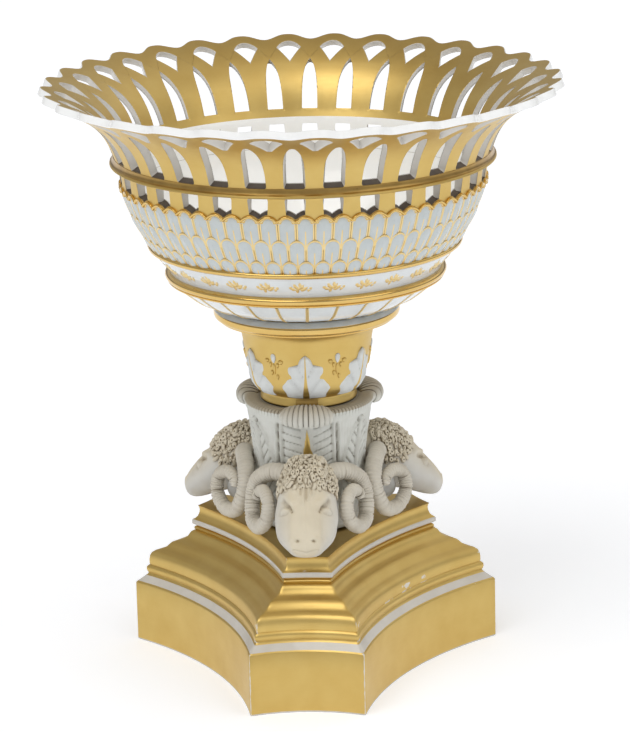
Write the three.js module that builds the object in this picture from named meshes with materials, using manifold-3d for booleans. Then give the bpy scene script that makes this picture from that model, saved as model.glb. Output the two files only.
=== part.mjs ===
// Porcelain centrepiece: a pierced basket on a cup, a leaf capital with three rams' heads
// and a hollow three-cornered plinth, drawn together by one threaded rod on the axis.
// Millimetres, +Z up. The origin is on the floor under the axis, and the front ram looks along -Y.

import * as THREE from 'three';
import { mergeVertices } from 'three/addons/utils/BufferGeometryUtils.js';
import Module from 'manifold-3d';

const wasm = await Module();
wasm.setup();

// Driving dimensions

// Gap left between two pieces that lie on each other.
const seam = 0.3;

// Plinth: three canted faces and three hollow sides, drawn in plan.
const cornerReach = 104.3;
const cornerHalfWidth = 32;
const cantHollow = 6.5;
const sideCentreReach = 270;
const sideRadius = 204;
const plinthWall = 6;
const blockHeight = 36.3;
const slopeRise = 3.7;
const bandRise = 6.2;
const coveRise = 7.8;
const shoulderRise = 13.4;
const neckRise = 3.4;
const filletRise = 3;
const scotiaRise = 8.2;
const filletIn = 4;
const coveIn = 7.7;
const shoulderIn = 17;
const neckIn = 25.2;
const scotiaIn = 27.7;

// Leaf capital: a hollow shaft with three curled leaf tips round a recess for the cup.
const shaftFootRadius = 27;
const shaftTopRadius = 34.6;
const shaftHeight = 66.3;
const shaftWall = 6;
const leafGroove = 1.4;
const recessDepth = 5.5;
const curlReach = 8.6;
const curlRise = 8.4;

// Rams' heads: forward from the shaft, half width and height above the plinth.
const headCount = 3;
const headLength = 56;
const headHalfWidth = 17;
const headHeight = 54;
const hornRootRadius = 4.6;
const hornTipRadius = 0.9;
const hornLoopRadius = 12.5;
const hornLoopHeight = 21;
const hornGap = 1.2;
const eyeSize = [2.6, 3.2, 2.4];
const earSize = [4.4, 4.6, 6.2];

// Cup: foot ring, leaf-clad body, cavetto and top torus.
const cupFootRadius = 26.6;
const cupWaistRadius = 36.8;
const cupTopRadius = 52.8;
const cupFootHeight = 5.8;
const cupHeight = 56;
const cupWall = 5;

// Basket: radii and rises of its mouldings from the foot up, then the pierced bands.
const basketFootRadius = 51;
const torusRadius = 80;
const lowerRingRadius = 89.2;
const ledgeRadius = 103.4;
const sillRadius = 108.6;
const rimRadius = 147.2;
const underRise = 15.1;
const torusRise = 7.7;
const friezeRise = 10.8;
const lowerRingRise = 3.6;
const scaleRise = 31.5;
const ledgeRise = 4.4;
const windowRise = 9.2;
const sillRise = 5.6;
const galleryRise = 35.8;
const basketWall = 5;
const galleryWall = 4.3;
const flareStart = 0.31;
const flarePower = 3.1;
const archCount = 32;
const lightWidth = 11.8;
const archCrown = 9.8;
const kiteWidth = 15;
const kiteRise = 9.3;
const kiteShoulder = 2.8;
const rimBand = 2.8;
const rimScallop = 5.4;
const rimDip = 1.9;
const ledgeScallop = 2.6;

// Tie rod and its fastenings.
const rodRadius = 3;
const rodClearance = 1.2;
const rodEnd = 3;
const nutAcrossFlats = 10;
const nutThickness = 5;
const metalWasherRadius = 10;
const metalWasherThickness = 1.5;
const softWasherRadius = 13;
const softWasherThickness = 2;

const turn = 2 * Math.PI;
const holeRadius = rodRadius + rodClearance;

// Geometry helpers

// A point at an angle counted from the front towards +X.
function polar(radius, angle, z) {
  return new THREE.Vector3(radius * Math.sin(angle), -radius * Math.cos(angle), z);
}

// A level ring of points. The outline may change the radius and the height round the ring.
function ring(count, radius, z, outline = () => ({ grow: 0, lift: 0 })) {
  const points = [];
  for (let i = 0; i < count; i += 1) {
    const angle = (i / count) * turn;
    const { grow, lift } = outline(angle);
    points.push(polar(radius + grow, angle, z + lift));
  }
  return points;
}

// The triangles between two rings, where one may have twice the points of the other.
function stitch(lower, upper, triangles) {
  const count = Math.min(lower.length, upper.length);
  const lowerStep = lower.length / count;
  const upperStep = upper.length / count;
  for (let i = 0; i < count; i += 1) {
    const a = lower[i * lowerStep];
    const b = lower[((i + 1) * lowerStep) % lower.length];
    const c = upper[((i + 1) * upperStep) % upper.length];
    const d = upper[i * upperStep];
    if (lowerStep === upperStep) {
      triangles.push([a, b, c], [a, c, d]);
    } else if (upperStep === 2) {
      const middle = upper[i * 2 + 1];
      triangles.push([a, b, middle], [a, middle, d], [b, c, middle]);
    } else {
      const middle = lower[i * 2 + 1];
      triangles.push([a, middle, d], [middle, b, c], [middle, c, d]);
    }
  }
}

// The triangles that close one end of a stack of rings.
function cap(points, outwardIsForward, triangles) {
  const centre = new THREE.Vector3();
  points.forEach((point) => centre.add(point));
  centre.divideScalar(points.length);
  points.forEach((point, i) => {
    const next = points[(i + 1) % points.length];
    triangles.push(outwardIsForward ? [point, next, centre] : [next, point, centre]);
  });
}

// A geometry from triangles of points, with the points that they share merged.
function closedGeometry(triangles) {
  const geometry = new THREE.BufferGeometry();
  geometry.setFromPoints(triangles.flat());
  return mergeVertices(geometry, 1e-4);
}

// A closed skin over rings in order. A path of rings that ends where it starts has no caps.
function skin(rings, { closed = false } = {}) {
  const triangles = [];
  for (let i = 0; i + 1 < rings.length; i += 1) {
    stitch(rings[i], rings[i + 1], triangles);
  }
  if (closed) {
    stitch(rings[rings.length - 1], rings[0], triangles);
  } else {
    cap(rings[0], false, triangles);
    cap(rings[rings.length - 1], true, triangles);
  }
  return closedGeometry(triangles);
}

// A turned ring or tube from a closed profile of [radius, height] pairs.
function turned(profile, count) {
  return skin(profile.map(([radius, z]) => ring(count, radius, z)), { closed: true });
}

// A solid for cutting and joining, made from a closed geometry.
function solidOf(source) {
  const bare = source.clone();
  bare.deleteAttribute('normal');
  bare.deleteAttribute('uv');
  const merged = mergeVertices(bare, 1e-4);
  const mesh = new wasm.Mesh({
    numProp: 3,
    vertProperties: new Float32Array(merged.attributes.position.array),
    triVerts: new Uint32Array(merged.index.array),
  });
  return new wasm.Manifold(mesh);
}

// The geometry of a solid.
function geometryOf(solid) {
  const mesh = solid.getMesh();
  const geometry = new THREE.BufferGeometry();
  geometry.setAttribute('position', new THREE.BufferAttribute(new Float32Array(mesh.vertProperties), 3));
  geometry.setIndex(new THREE.BufferAttribute(new Uint32Array(mesh.triVerts), 1));
  return geometry;
}

function cutAway(body, tools) {
  return geometryOf(solidOf(body).subtract(wasm.Manifold.union(tools.map(solidOf))));
}

function joined(parts) {
  return geometryOf(wasm.Manifold.union(parts.map(solidOf)));
}

// A length between two values, for a share from 0 to 1.
function between(start, end, share) {
  return start + (end - start) * share;
}

// Plinth

// The radius of the circle through a canted face, from its half width and its hollow.
const cantRadius = (cornerHalfWidth ** 2 + cantHollow ** 2) / (2 * cantHollow);
const cantCentreReach = cornerReach - cantHollow + cantRadius;

// The corner where an inset canted face meets an inset hollow side, on the +X side of the front.
function cornerAt(inset) {
  const front = new THREE.Vector2(0, -cantCentreReach);
  const side = new THREE.Vector2(
    sideCentreReach * Math.sin(turn / 6),
    -sideCentreReach * Math.cos(turn / 6),
  );
  const frontReach = cantRadius + inset;
  const sideReach = sideRadius + inset;
  const apart = front.distanceTo(side);
  const along = (frontReach ** 2 - sideReach ** 2 + apart ** 2) / (2 * apart);
  const across = Math.sqrt(frontReach ** 2 - along ** 2);
  const direction = side.clone().sub(front).divideScalar(apart);
  const foot = front.clone().addScaledVector(direction, along);
  return foot.add(new THREE.Vector2(-direction.y, direction.x).multiplyScalar(across));
}

// Points along an arc about a centre, without its last point.
function arcPoints(centre, from, to, steps) {
  const start = Math.atan2(from.y - centre.y, from.x - centre.x);
  let sweep = Math.atan2(to.y - centre.y, to.x - centre.x) - start;
  if (sweep > Math.PI) sweep -= turn;
  if (sweep < -Math.PI) sweep += turn;
  const radius = from.distanceTo(centre);
  const points = [];
  for (let i = 0; i < steps; i += 1) {
    const angle = start + sweep * (i / steps);
    points.push(new THREE.Vector2(centre.x + radius * Math.cos(angle), centre.y + radius * Math.sin(angle)));
  }
  return points;
}

// The plan of the plinth, moved inwards by one distance on every side.
function plinthPlan(inset, z) {
  const cantSteps = 4;
  const sideSteps = 9;
  const corner = cornerAt(inset);
  const mirrored = new THREE.Vector2(-corner.x, corner.y);
  const origin = new THREE.Vector2();
  const nextCorner = mirrored.clone().rotateAround(origin, turn / 3);
  const cantCentre = new THREE.Vector2(0, -cantCentreReach);
  const sideCentre = new THREE.Vector2(0, -sideCentreReach).rotateAround(origin, turn / 6);
  const third = [
    ...arcPoints(cantCentre, mirrored, corner, cantSteps),
    ...arcPoints(sideCentre, corner, nextCorner, sideSteps),
  ];
  const points = [];
  for (let lobe = 0; lobe < headCount; lobe += 1) {
    for (const point of third) {
      const placed = point.clone().rotateAround(origin, (lobe * turn) / headCount);
      points.push(new THREE.Vector3(placed.x, placed.y, z));
    }
  }
  return points;
}

// A circle whose points lie at the same angles as those of a plan.
function circleUnderPlan(plan, radius, z) {
  return plan.map((point) => {
    const angle = Math.atan2(point.y, point.x);
    return new THREE.Vector3(radius * Math.cos(angle), radius * Math.sin(angle), z);
  });
}

const slopeTop = blockHeight + slopeRise;
const bandTop = slopeTop + bandRise;
const coveTop = bandTop + coveRise;
const shoulderTop = coveTop + shoulderRise;
const neckTop = shoulderTop + neckRise;
const filletTop = neckTop + filletRise;
const plinthTop = filletTop + scotiaRise;
const ceilingHeight = plinthTop - plinthWall;

// Inset and height of each moulding edge, from the floor to the top.
const plinthMouldings = [
  [0, 0],
  [0, blockHeight - 1],
  [1, blockHeight + 0.3],
  [filletIn, slopeTop],
  [filletIn + 0.9, slopeTop + bandRise * 0.25],
  [filletIn + 0.2, slopeTop + bandRise * 0.6],
  [filletIn + 1.6, bandTop],
  [filletIn + 1.4, bandTop + coveRise * 0.45],
  [coveIn - 1.2, coveTop],
  [coveIn + 2.7, coveTop + shoulderRise * 0.14],
  [between(coveIn, shoulderIn, 0.63), coveTop + shoulderRise * 0.34],
  [shoulderIn, coveTop + shoulderRise * 0.51],
  [between(shoulderIn, neckIn, 0.55), coveTop + shoulderRise * 0.67],
  [neckIn - 1.9, coveTop + shoulderRise * 0.91],
  [neckIn + 0.3, shoulderTop],
  [neckIn - 0.5, shoulderTop + neckRise * 0.35],
  [neckIn + 0.8, shoulderTop + neckRise * 0.7],
  [neckIn - 1.3, neckTop + 0.4],
  [neckIn - 1.3, filletTop - 0.4],
  [neckIn + 0.1, filletTop + 0.5],
  [scotiaIn - 0.4, filletTop + scotiaRise * 0.49],
  [scotiaIn - 0.2, filletTop + scotiaRise * 0.73],
  [scotiaIn - 0.9, plinthTop],
];

// Inset and height of the cavity's edges, from its ceiling down to the floor.
const plinthCavity = [
  [scotiaIn + plinthWall, ceilingHeight],
  [neckIn + plinthWall, neckTop - plinthWall],
  [coveIn + plinthWall + 4, coveTop - plinthWall / 2],
  [plinthWall, blockHeight - plinthWall],
  [plinthWall, 0],
];

function makePlinth() {
  const outside = plinthMouldings.map(([inset, z]) => plinthPlan(inset, z));
  const inside = plinthCavity.map(([inset, z]) => plinthPlan(inset, z));
  const topHole = circleUnderPlan(outside[outside.length - 1], holeRadius, plinthTop);
  const ceilingHole = circleUnderPlan(inside[0], holeRadius, ceilingHeight);
  return skin([...outside, topHole, ceilingHole, ...inside], { closed: true });
}

// Leaf capital

const capitalFoot = plinthTop + seam;
const shaftTop = capitalFoot + shaftHeight;
const recessFloor = shaftTop + curlRise + 4 - recessDepth;

// Six leaves stand round the shaft, with a groove on the line between each two.
function leafRelief(angle) {
  return { grow: -leafGroove * Math.abs(Math.sin(headCount * angle)) ** 8, lift: 0 };
}

// How far a point of the collar belongs to a curled leaf tip: 1 at its middle, 0 between the tips.
function curlShare(angle) {
  return Math.max(0, Math.cos(headCount * angle)) ** 1.6;
}

// One ring of the collar, drawn between its low edge and the curled tips.
function collarRing(count, low, curled) {
  return ring(count, 0, 0, (angle) => {
    const share = curlShare(angle);
    return { grow: between(low[0], curled[0], share), lift: between(low[1], curled[1], share) };
  });
}

// The shaft's outside from its foot to the collar, with an allowance for cutting what leans on it.
function shaftRings(count, allowance) {
  const profile = [
    [shaftFootRadius + 1.4, 0],
    [shaftFootRadius + 1.4, 3],
    [shaftFootRadius, 5],
    [between(shaftFootRadius, shaftTopRadius, 0.12), shaftHeight * 0.3],
    [between(shaftFootRadius, shaftTopRadius, 0.27), shaftHeight * 0.55],
    [between(shaftFootRadius, shaftTopRadius, 0.55), shaftHeight * 0.8],
    [shaftTopRadius, shaftHeight],
  ];
  return profile.map(([radius, up]) => ring(count, radius + allowance, capitalFoot + up, leafRelief));
}

function makeCapital() {
  const count = 48;
  const lip = shaftTopRadius + 3.8;
  const recessRadius = cupFootRadius + 1.4;
  const collar = [
    collarRing(count, [lip - 2.4, shaftTop + 2.5], [lip - 1.6, shaftTop + 1.9]),
    collarRing(count, [lip - 1.2, shaftTop + 3.6], [lip + 2.2, shaftTop - 0.4]),
    collarRing(count, [lip, shaftTop + 5.2], [shaftTopRadius + curlReach, shaftTop + 3.6]),
    collarRing(count, [lip, shaftTop + 6.8], [shaftTopRadius + curlReach - 0.8, shaftTop + 8.6]),
    collarRing(count, [lip - 1.6, shaftTop + 7.8], [lip - 0.4, shaftTop + curlRise + 3]),
    collarRing(count, [lip - 5, shaftTop + 7.6], [recessRadius + 2, shaftTop + curlRise + 2.6]),
  ];
  const boreRadius = shaftFootRadius - shaftWall;
  const inside = [
    ring(count / 2, recessRadius, recessFloor),
    ring(count / 2, holeRadius, recessFloor),
    ring(count / 2, holeRadius, recessFloor - shaftWall),
    ring(count / 2, boreRadius, recessFloor - shaftWall),
    ring(count / 2, boreRadius, capitalFoot),
  ];
  return skin([...shaftRings(count, 0), ...collar, ...inside], { closed: true });
}

// Rams' heads

// A cross-section of a head: a soft-cornered oval, square to the way the ram looks.
function headSection(forward, top, bottom, halfWidth) {
  const points = [];
  const count = 12;
  const middle = (top + bottom) / 2;
  const halfHeight = (top - bottom) / 2;
  for (let i = 0; i < count; i += 1) {
    const angle = (i / count) * turn;
    const soft = (value) => Math.sign(value) * Math.abs(value) ** 0.82;
    const across = halfWidth * soft(Math.sin(angle));
    const up = middle - halfHeight * soft(Math.cos(angle));
    points.push(new THREE.Vector3(across, -forward, capitalFoot + up));
  }
  return points;
}

// Share of the head's length, of its height at top and bottom, and of its half width.
const headShape = [
  [-0.08, 1.0, 0.03, 0.86],
  [0.1, 1.02, 0.03, 0.96],
  [0.25, 1.01, 0.05, 1.0],
  [0.39, 0.97, 0.08, 0.97],
  [0.51, 0.86, 0.09, 0.91],
  [0.6, 0.69, 0.09, 0.84],
  [0.71, 0.58, 0.07, 0.74],
  [0.82, 0.48, 0.04, 0.61],
  [0.9, 0.37, 0.03, 0.55],
  [0.96, 0.28, 0.05, 0.48],
  [1.0, 0.21, 0.1, 0.3],
];

// The head's mass, with an allowance for cutting the horns that are set into it.
function headMass(allowance) {
  const rings = headShape.map(([along, top, bottom, wide]) => headSection(
    shaftFootRadius + headLength * along + allowance * Math.sign(along - 0.5),
    headHeight * top + allowance,
    headHeight * bottom - allowance,
    headHalfWidth * wide + allowance,
  ));
  return skin(rings);
}

// A small oval lump on the head, such as an eye or an ear, turned about the head's own length.
function lump([wide, deep, tall], forward, across, up) {
  const geometry = new THREE.SphereGeometry(1, 6, 4);
  geometry.scale(wide, deep, tall);
  geometry.translate(across, -forward, capitalFoot + up);
  return geometry;
}

function makeHead() {
  const eyeForward = shaftFootRadius + headLength * 0.655;
  const earForward = shaftFootRadius + headLength * 0.2;
  const parts = [headMass(0)];
  for (const side of [-1, 1]) {
    parts.push(lump(eyeSize, eyeForward, side * headHalfWidth * 0.72, headHeight * 0.5));
    parts.push(lump(earSize, earForward, side * (headHalfWidth + 1.6), headHeight * 0.36));
  }
  return cutAway(joined(parts), [skin(shaftRings(24, seam * 2))]);
}

// A tube of changing radius along a curve.
function taperedTube(curve, radiusAt, steps, sides) {
  const frames = curve.computeFrenetFrames(steps, false);
  const rings = [];
  for (let i = 0; i <= steps; i += 1) {
    const share = i / steps;
    const centre = curve.getPointAt(share);
    const radius = radiusAt(share);
    const points = [];
    for (let j = 0; j < sides; j += 1) {
      const angle = (j / sides) * turn;
      const point = centre.clone();
      point.addScaledVector(frames.normals[i], radius * Math.cos(angle));
      point.addScaledVector(frames.binormals[i], radius * Math.sin(angle));
      points.push(point);
    }
    rings.push(points);
  }
  return skin(rings);
}

// The horn's loop starts clear of the shaft. Its outer turn stops half a gap short of the plane
// between two heads, and its inner turn runs beside the cheek.
const hornBack = shaftFootRadius - 2.5;
const sectorAngle = turn / headCount / 2;
const hornRoom = hornBack * Math.sin(sectorAngle) - hornRootRadius - hornGap / 2;
const hornOuter = hornRoom / Math.cos(sectorAngle);
const hornInner = headHalfWidth + hornRootRadius + hornGap / 2;

// The horn leaves the crown, falls behind the ear and comes round to the front in one loop.
function hornCurve(side) {
  const forward = hornBack + hornLoopRadius;
  const up = capitalFoot + hornLoopHeight;
  const r = hornLoopRadius;
  const point = (across, ahead, above) => (
    new THREE.Vector3(side * across, -(forward + ahead * r), up + above * r)
  );
  const beside = (share) => between(hornInner, hornOuter, share);
  return new THREE.CatmullRomCurve3([
    point(headHalfWidth * 0.56, 0.16, 1.75),
    point(headHalfWidth * 1.17, -0.5, 1.8),
    point(beside(0.66), -1, 1.1),
    point(beside(1), -1.02, 0.15),
    point(beside(1), -0.5, -0.88),
    point(beside(0.6), 0.35, -1.05),
    point(beside(0.13), 0.98, -0.45),
    point(beside(0), 0.95, 0.45),
    point(beside(0.23), 0.35, 0.92),
    point(beside(0.56), -0.25, 0.7),
    point(beside(0.77), -0.4, 0.25),
  ]);
}

function makeHorn(side) {
  const radiusAt = (share) => between(hornRootRadius, hornTipRadius, share ** 2.8);
  return cutAway(taperedTube(hornCurve(side), radiusAt, 20, 6), [headMass(seam)]);
}

// Cup

const cupFoot = recessFloor + seam;
const cupTop = cupFoot + cupHeight;

function makeCup() {
  const body = cupHeight - cupFootHeight;
  const outside = [
    [cupFootRadius, 0],
    [cupFootRadius + 0.6, cupFootHeight * 0.45],
    [cupFootRadius, cupFootHeight * 0.9],
    [cupFootRadius + 0.6, cupFootHeight],
    [between(cupFootRadius, cupWaistRadius, 0.52), cupFootHeight + body * 0.1],
    [between(cupFootRadius, cupWaistRadius, 0.72), cupFootHeight + body * 0.24],
    [between(cupFootRadius, cupWaistRadius, 0.88), cupFootHeight + body * 0.42],
    [cupWaistRadius, cupFootHeight + body * 0.58],
    [cupWaistRadius + 1.4, cupFootHeight + body * 0.66],
    [between(cupWaistRadius, cupTopRadius, 0.35), cupFootHeight + body * 0.73],
    [cupTopRadius - 3.6, cupFootHeight + body * 0.79],
    [cupTopRadius - 0.8, cupFootHeight + body * 0.82],
    [cupTopRadius, cupFootHeight + body * 0.88],
    [cupTopRadius, cupFootHeight + body * 0.94],
    [cupTopRadius - 1.6, cupHeight],
  ];
  const inside = [
    [cupTopRadius - cupWall * 2, cupHeight],
    [cupWaistRadius - cupWall + 1, cupFootHeight + body * 0.66],
    [cupFootRadius - cupWall + 4, cupFootHeight + cupWall],
    [holeRadius, cupFootHeight + cupWall],
    [holeRadius, 0],
  ];
  const count = 36;
  return skin([
    ...outside.map(([radius, up]) => ring(count, radius, cupFoot + up)),
    ...inside.map(([radius, up]) => ring(count / 2, radius, cupFoot + up)),
  ], { closed: true });
}

// Basket

const basketFoot = cupTop + seam;
const bowlFloor = basketFoot + basketWall + 1.2;
const arch = turn / archCount;

// Heights above the basket's foot.
const torusFoot = underRise;
const friezeFoot = torusFoot + torusRise;
const lowerRingFoot = friezeFoot + friezeRise;
const scaleFoot = lowerRingFoot + lowerRingRise;
const ledgeFoot = scaleFoot + scaleRise;
const windowFoot = ledgeFoot + ledgeRise;
const sillFoot = windowFoot + windowRise;
const galleryFoot = sillFoot + sillRise;
const galleryFootRadius = sillRadius - 2;

// The flare over the sill turns outwards more and more, and its inner face lies one wall behind it.
function flare(share, isInside) {
  const reach = rimRadius - galleryFootRadius;
  const bend = 1 - flareStart;
  const radius = galleryFootRadius + reach * (flareStart * share + bend * share ** flarePower);
  const up = galleryFoot + galleryRise * share;
  if (!isInside) return [radius, up];
  const slope = (reach * (flareStart + bend * flarePower * share ** (flarePower - 1))) / galleryRise;
  const depth = galleryWall / Math.hypot(1, slope);
  return [radius - depth, up + depth * slope];
}

// Shares of the gallery's height.
const kiteTop = 1 - rimBand / galleryRise;
const kiteCorner = kiteTop - kiteShoulder / galleryRise;
const kiteTip = kiteTop - kiteRise / galleryRise;
const lancetApex = 1 - archCrown / galleryRise;
const lancetSpring = lancetApex * 0.56;
const lancetHead = [0.45, 0.8].map((share) => between(lancetSpring, lancetApex, share));
const galleryTop = between(kiteTop, 1, 0.3);

// Half widths of the lights, as angles about the axis.
const lightHalf = lightWidth / 2 / galleryFootRadius;
const kiteHalf = kiteWidth / 2 / flare(kiteCorner, false)[0];

// Half the angle that a lancet covers: upright sides, then a pointed head of two arcs.
function lancetHalf(share) {
  const side = lightHalf * between(1, 0.9, Math.min(share / lancetSpring, 1));
  const head = Math.max(0, (share - lancetSpring) / (lancetApex - lancetSpring));
  return side * Math.cos((Math.min(head, 1) * Math.PI) / 2) ** 0.8;
}

// The rim waves out and up over each pier and dips over each lancet.
function rimWave(angle) {
  const wave = 1 - Math.abs(Math.sin((archCount * angle) / 2));
  return { grow: -rimScallop * wave, lift: -rimDip * wave };
}

// The ledge under the windows is scalloped, with two round lobes to an arch.
function ledgeWave(angle) {
  return { grow: 0, lift: -ledgeScallop * (1 - Math.abs(Math.sin(archCount * angle))) };
}

// Each arch has four points on a pierced ring: lancet middle, light edge, pier middle, light edge.
const archAngles = [0, lightHalf, arch / 2, arch - lightHalf];

function piercedRing([radius, up], outline = () => ({ grow: 0, lift: 0 })) {
  const points = [];
  for (let i = 0; i < archCount; i += 1) {
    for (const offset of archAngles) {
      const { grow, lift } = outline(i * arch + offset);
      points.push(polar(radius + grow, i * arch + offset, basketFoot + up + lift));
    }
  }
  return points;
}

// A point of the gallery's outer or inner face. Only its top edge follows the rim's wave.
function galleryPoint([angle, share], isInside) {
  const [radius, up] = flare(share, isInside);
  const { grow, lift } = share === galleryTop ? rimWave(angle) : { grow: 0, lift: 0 };
  return polar(radius + grow, angle, basketFoot + up + lift);
}

// The cut edge of a light, between a chain of outer points and the same chain on the inner face.
function reveal(outer, inner, triangles) {
  for (let i = 0; i + 1 < outer.length; i += 1) {
    triangles.push([outer[i], outer[i + 1], inner[i + 1]], [outer[i], inner[i + 1], inner[i]]);
  }
}

// One pier with its two arms, up to the rim, and the kite-shaped light between the arms.
function addPier(i, triangles) {
  const leftAngle = i * arch;
  const rightAngle = leftAngle + arch;
  const middle = leftAngle + arch / 2;
  const steps = [0, lancetSpring, ...lancetHead, lancetApex];
  const leftSide = steps.map((share) => [leftAngle + lancetHalf(share), share]);
  const rightSide = steps.map((share) => [rightAngle - lancetHalf(share), share]);
  const top = [rightAngle, leftAngle + archAngles[3], middle, leftAngle + archAngles[1], leftAngle];
  const topEdge = top.map((angle) => [angle, galleryTop]);
  const outline = [[middle, 0], ...rightSide, ...topEdge, ...leftSide.toReversed()];
  const kite = [
    [middle, kiteTip],
    [middle + kiteHalf, kiteCorner],
    [middle, kiteTop],
    [middle - kiteHalf, kiteCorner],
  ];
  const flat = ([angle, share]) => new THREE.Vector2(angle * rimRadius, share * galleryRise);
  const faces = THREE.ShapeUtils.triangulateShape(outline.map(flat), [kite.toReversed().map(flat)]);
  const corners = [...outline, ...kite.toReversed()];
  const outer = corners.map((corner) => galleryPoint(corner, false));
  const inner = corners.map((corner) => galleryPoint(corner, true));
  for (const [a, b, c] of faces) {
    triangles.push([outer[a], outer[b], outer[c]], [inner[c], inner[b], inner[a]]);
  }
  for (const edge of [leftSide, rightSide.toReversed(), [...kite, kite[0]]]) {
    const [near, far] = [false, true].map((isInside) => edge.map((corner) => galleryPoint(corner, isInside)));
    reveal(near, far, triangles);
  }
}

// The wall between two pierced rings, left open at each light.
function addPiers(lower, upper, triangles) {
  for (let i = 0; i < archCount; i += 1) {
    for (const step of [1, 2]) {
      const from = i * archAngles.length + step;
      const [a, b, c, d] = [lower[from], lower[from + 1], upper[from + 1], upper[from]];
      triangles.push([a, b, c], [a, c, d]);
    }
  }
}

// The foot or the head of every light, between an outer and an inner pierced ring.
function addLightFloors(outer, inner, facesUp, triangles) {
  const count = outer.length;
  for (let i = 0; i < archCount; i += 1) {
    const at = i * archAngles.length;
    const chain = [(at + count - 1) % count, at, at + 1];
    const order = facesUp ? chain : chain.toReversed();
    reveal(order.map((index) => outer[index]), order.map((index) => inner[index]), triangles);
  }
}

function addSkin(rings, triangles) {
  for (let i = 0; i + 1 < rings.length; i += 1) {
    stitch(rings[i], rings[i + 1], triangles);
  }
}

function makeBasket() {
  const count = archCount * 2;
  const wall = basketWall;
  const level = ([radius, up]) => ring(count, radius, basketFoot + up);
  const outside = [
    [basketFootRadius, 0],
    [between(basketFootRadius, torusRadius, 0.38), underRise * 0.21],
    [between(basketFootRadius, torusRadius, 0.66), underRise * 0.48],
    [torusRadius - 2.6, underRise],
    [torusRadius - 0.3, torusFoot + torusRise * 0.25],
    [torusRadius - 0.3, torusFoot + torusRise * 0.75],
    [torusRadius - 1.4, friezeFoot],
    [between(torusRadius, lowerRingRadius, 0.5), between(friezeFoot, lowerRingFoot, 0.58)],
    [lowerRingRadius - 1.8, lowerRingFoot],
    [lowerRingRadius, lowerRingFoot + lowerRingRise / 2],
    [lowerRingRadius - 0.6, scaleFoot],
    [between(lowerRingRadius, ledgeRadius, 0.55), between(scaleFoot, ledgeFoot, 0.45)],
    [ledgeRadius - 1.2, ledgeFoot],
    [ledgeRadius, ledgeFoot + ledgeRise * 0.3],
  ].map(level);
  const windowLow = piercedRing([ledgeRadius - 0.6, windowFoot], ledgeWave);
  const windowHigh = piercedRing([ledgeRadius + 0.6, sillFoot]);
  const windowLowInside = piercedRing([ledgeRadius - 0.6 - wall, windowFoot], ledgeWave);
  const windowHighInside = piercedRing([ledgeRadius + 0.6 - wall, sillFoot]);
  const sill = [
    [sillRadius - 0.6, sillFoot + sillRise * 0.25],
    [sillRadius, sillFoot + sillRise * 0.55],
  ].map(level);
  const galleryLow = piercedRing(flare(0, false));
  const galleryLowInside = piercedRing(flare(0, true));
  const rim = [[galleryTop, false], [1, false], [1, true], [galleryTop, true]].map(
    ([share, isInside]) => piercedRing(flare(share, isInside), rimWave),
  );
  const bowl = [
    [between(lowerRingRadius, ledgeRadius, 0.5) - wall, between(scaleFoot, ledgeFoot, 0.4)],
    [lowerRingRadius - wall * 1.4, lowerRingFoot + 1],
    [torusRadius - wall * 1.4, friezeFoot + 2],
    [torusRadius - wall * 3.2, torusFoot + 2],
    [basketFootRadius - wall, bowlFloor - basketFoot + 1],
  ].map(([radius, up]) => ring(count / 2, radius, basketFoot + up));
  const bottom = [
    level([ledgeRadius - wall * 1.1, ledgeFoot]),
    ...bowl,
    ring(count / 2, basketFootRadius * 0.5, bowlFloor),
    ring(count / 4, holeRadius, bowlFloor),
    ring(count / 4, holeRadius, basketFoot),
    ring(count / 2, basketFootRadius * 0.5, basketFoot),
  ];
  const triangles = [];
  addSkin([windowLowInside, ...bottom, ...outside, windowLow], triangles);
  addPiers(windowLow, windowHigh, triangles);
  addPiers(windowHighInside, windowLowInside, triangles);
  addLightFloors(windowLow, windowLowInside, true, triangles);
  addLightFloors(windowHigh, windowHighInside, false, triangles);
  for (let i = 0; i < archCount; i += 1) {
    const at = i * archAngles.length;
    for (const [step, isUp] of [[1, true], [3, false]]) {
      const outer = [windowLow[at + step], windowHigh[at + step]];
      const inner = [windowLowInside[at + step], windowHighInside[at + step]];
      reveal(isUp ? outer : outer.toReversed(), isUp ? inner : inner.toReversed(), triangles);
    }
  }
  addSkin([windowHigh, ...sill, galleryLow], triangles);
  addSkin([galleryLowInside, windowHighInside], triangles);
  addLightFloors(galleryLow, galleryLowInside, true, triangles);
  for (let i = 0; i < archCount; i += 1) {
    addPier(i, triangles);
  }
  addSkin(rim, triangles);
  return closedGeometry(triangles);
}

// Fastenings

const softTop = bowlFloor + seam + softWasherThickness;
const washerTop = softTop + seam + metalWasherThickness;
const nutTop = washerTop + seam + nutThickness;
const softUnder = ceilingHeight - seam - softWasherThickness;
const washerUnder = softUnder - seam - metalWasherThickness;
const nutUnder = washerUnder - seam - nutThickness;

function makeRod() {
  const top = nutTop + rodEnd;
  const bottom = nutUnder - rodEnd;
  return skin([
    ring(12, rodRadius - 0.6, bottom),
    ring(12, rodRadius, bottom + 0.6),
    ring(12, rodRadius, top - 0.6),
    ring(12, rodRadius - 0.6, top),
  ]);
}

function makeNut(bottom) {
  const corner = nutAcrossFlats / Math.sqrt(3);
  const shape = new THREE.Shape();
  for (let i = 0; i < 6; i += 1) {
    const angle = (i / 6) * turn;
    shape[i === 0 ? 'moveTo' : 'lineTo'](corner * Math.cos(angle), corner * Math.sin(angle));
  }
  const bore = new THREE.Path();
  bore.absarc(0, 0, rodRadius + seam, 0, turn, true);
  shape.holes.push(bore);
  const solid = { depth: nutThickness, bevelEnabled: false, curveSegments: 12 };
  const nut = new THREE.ExtrudeGeometry(shape, solid);
  nut.translate(0, 0, bottom);
  return nut;
}

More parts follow.
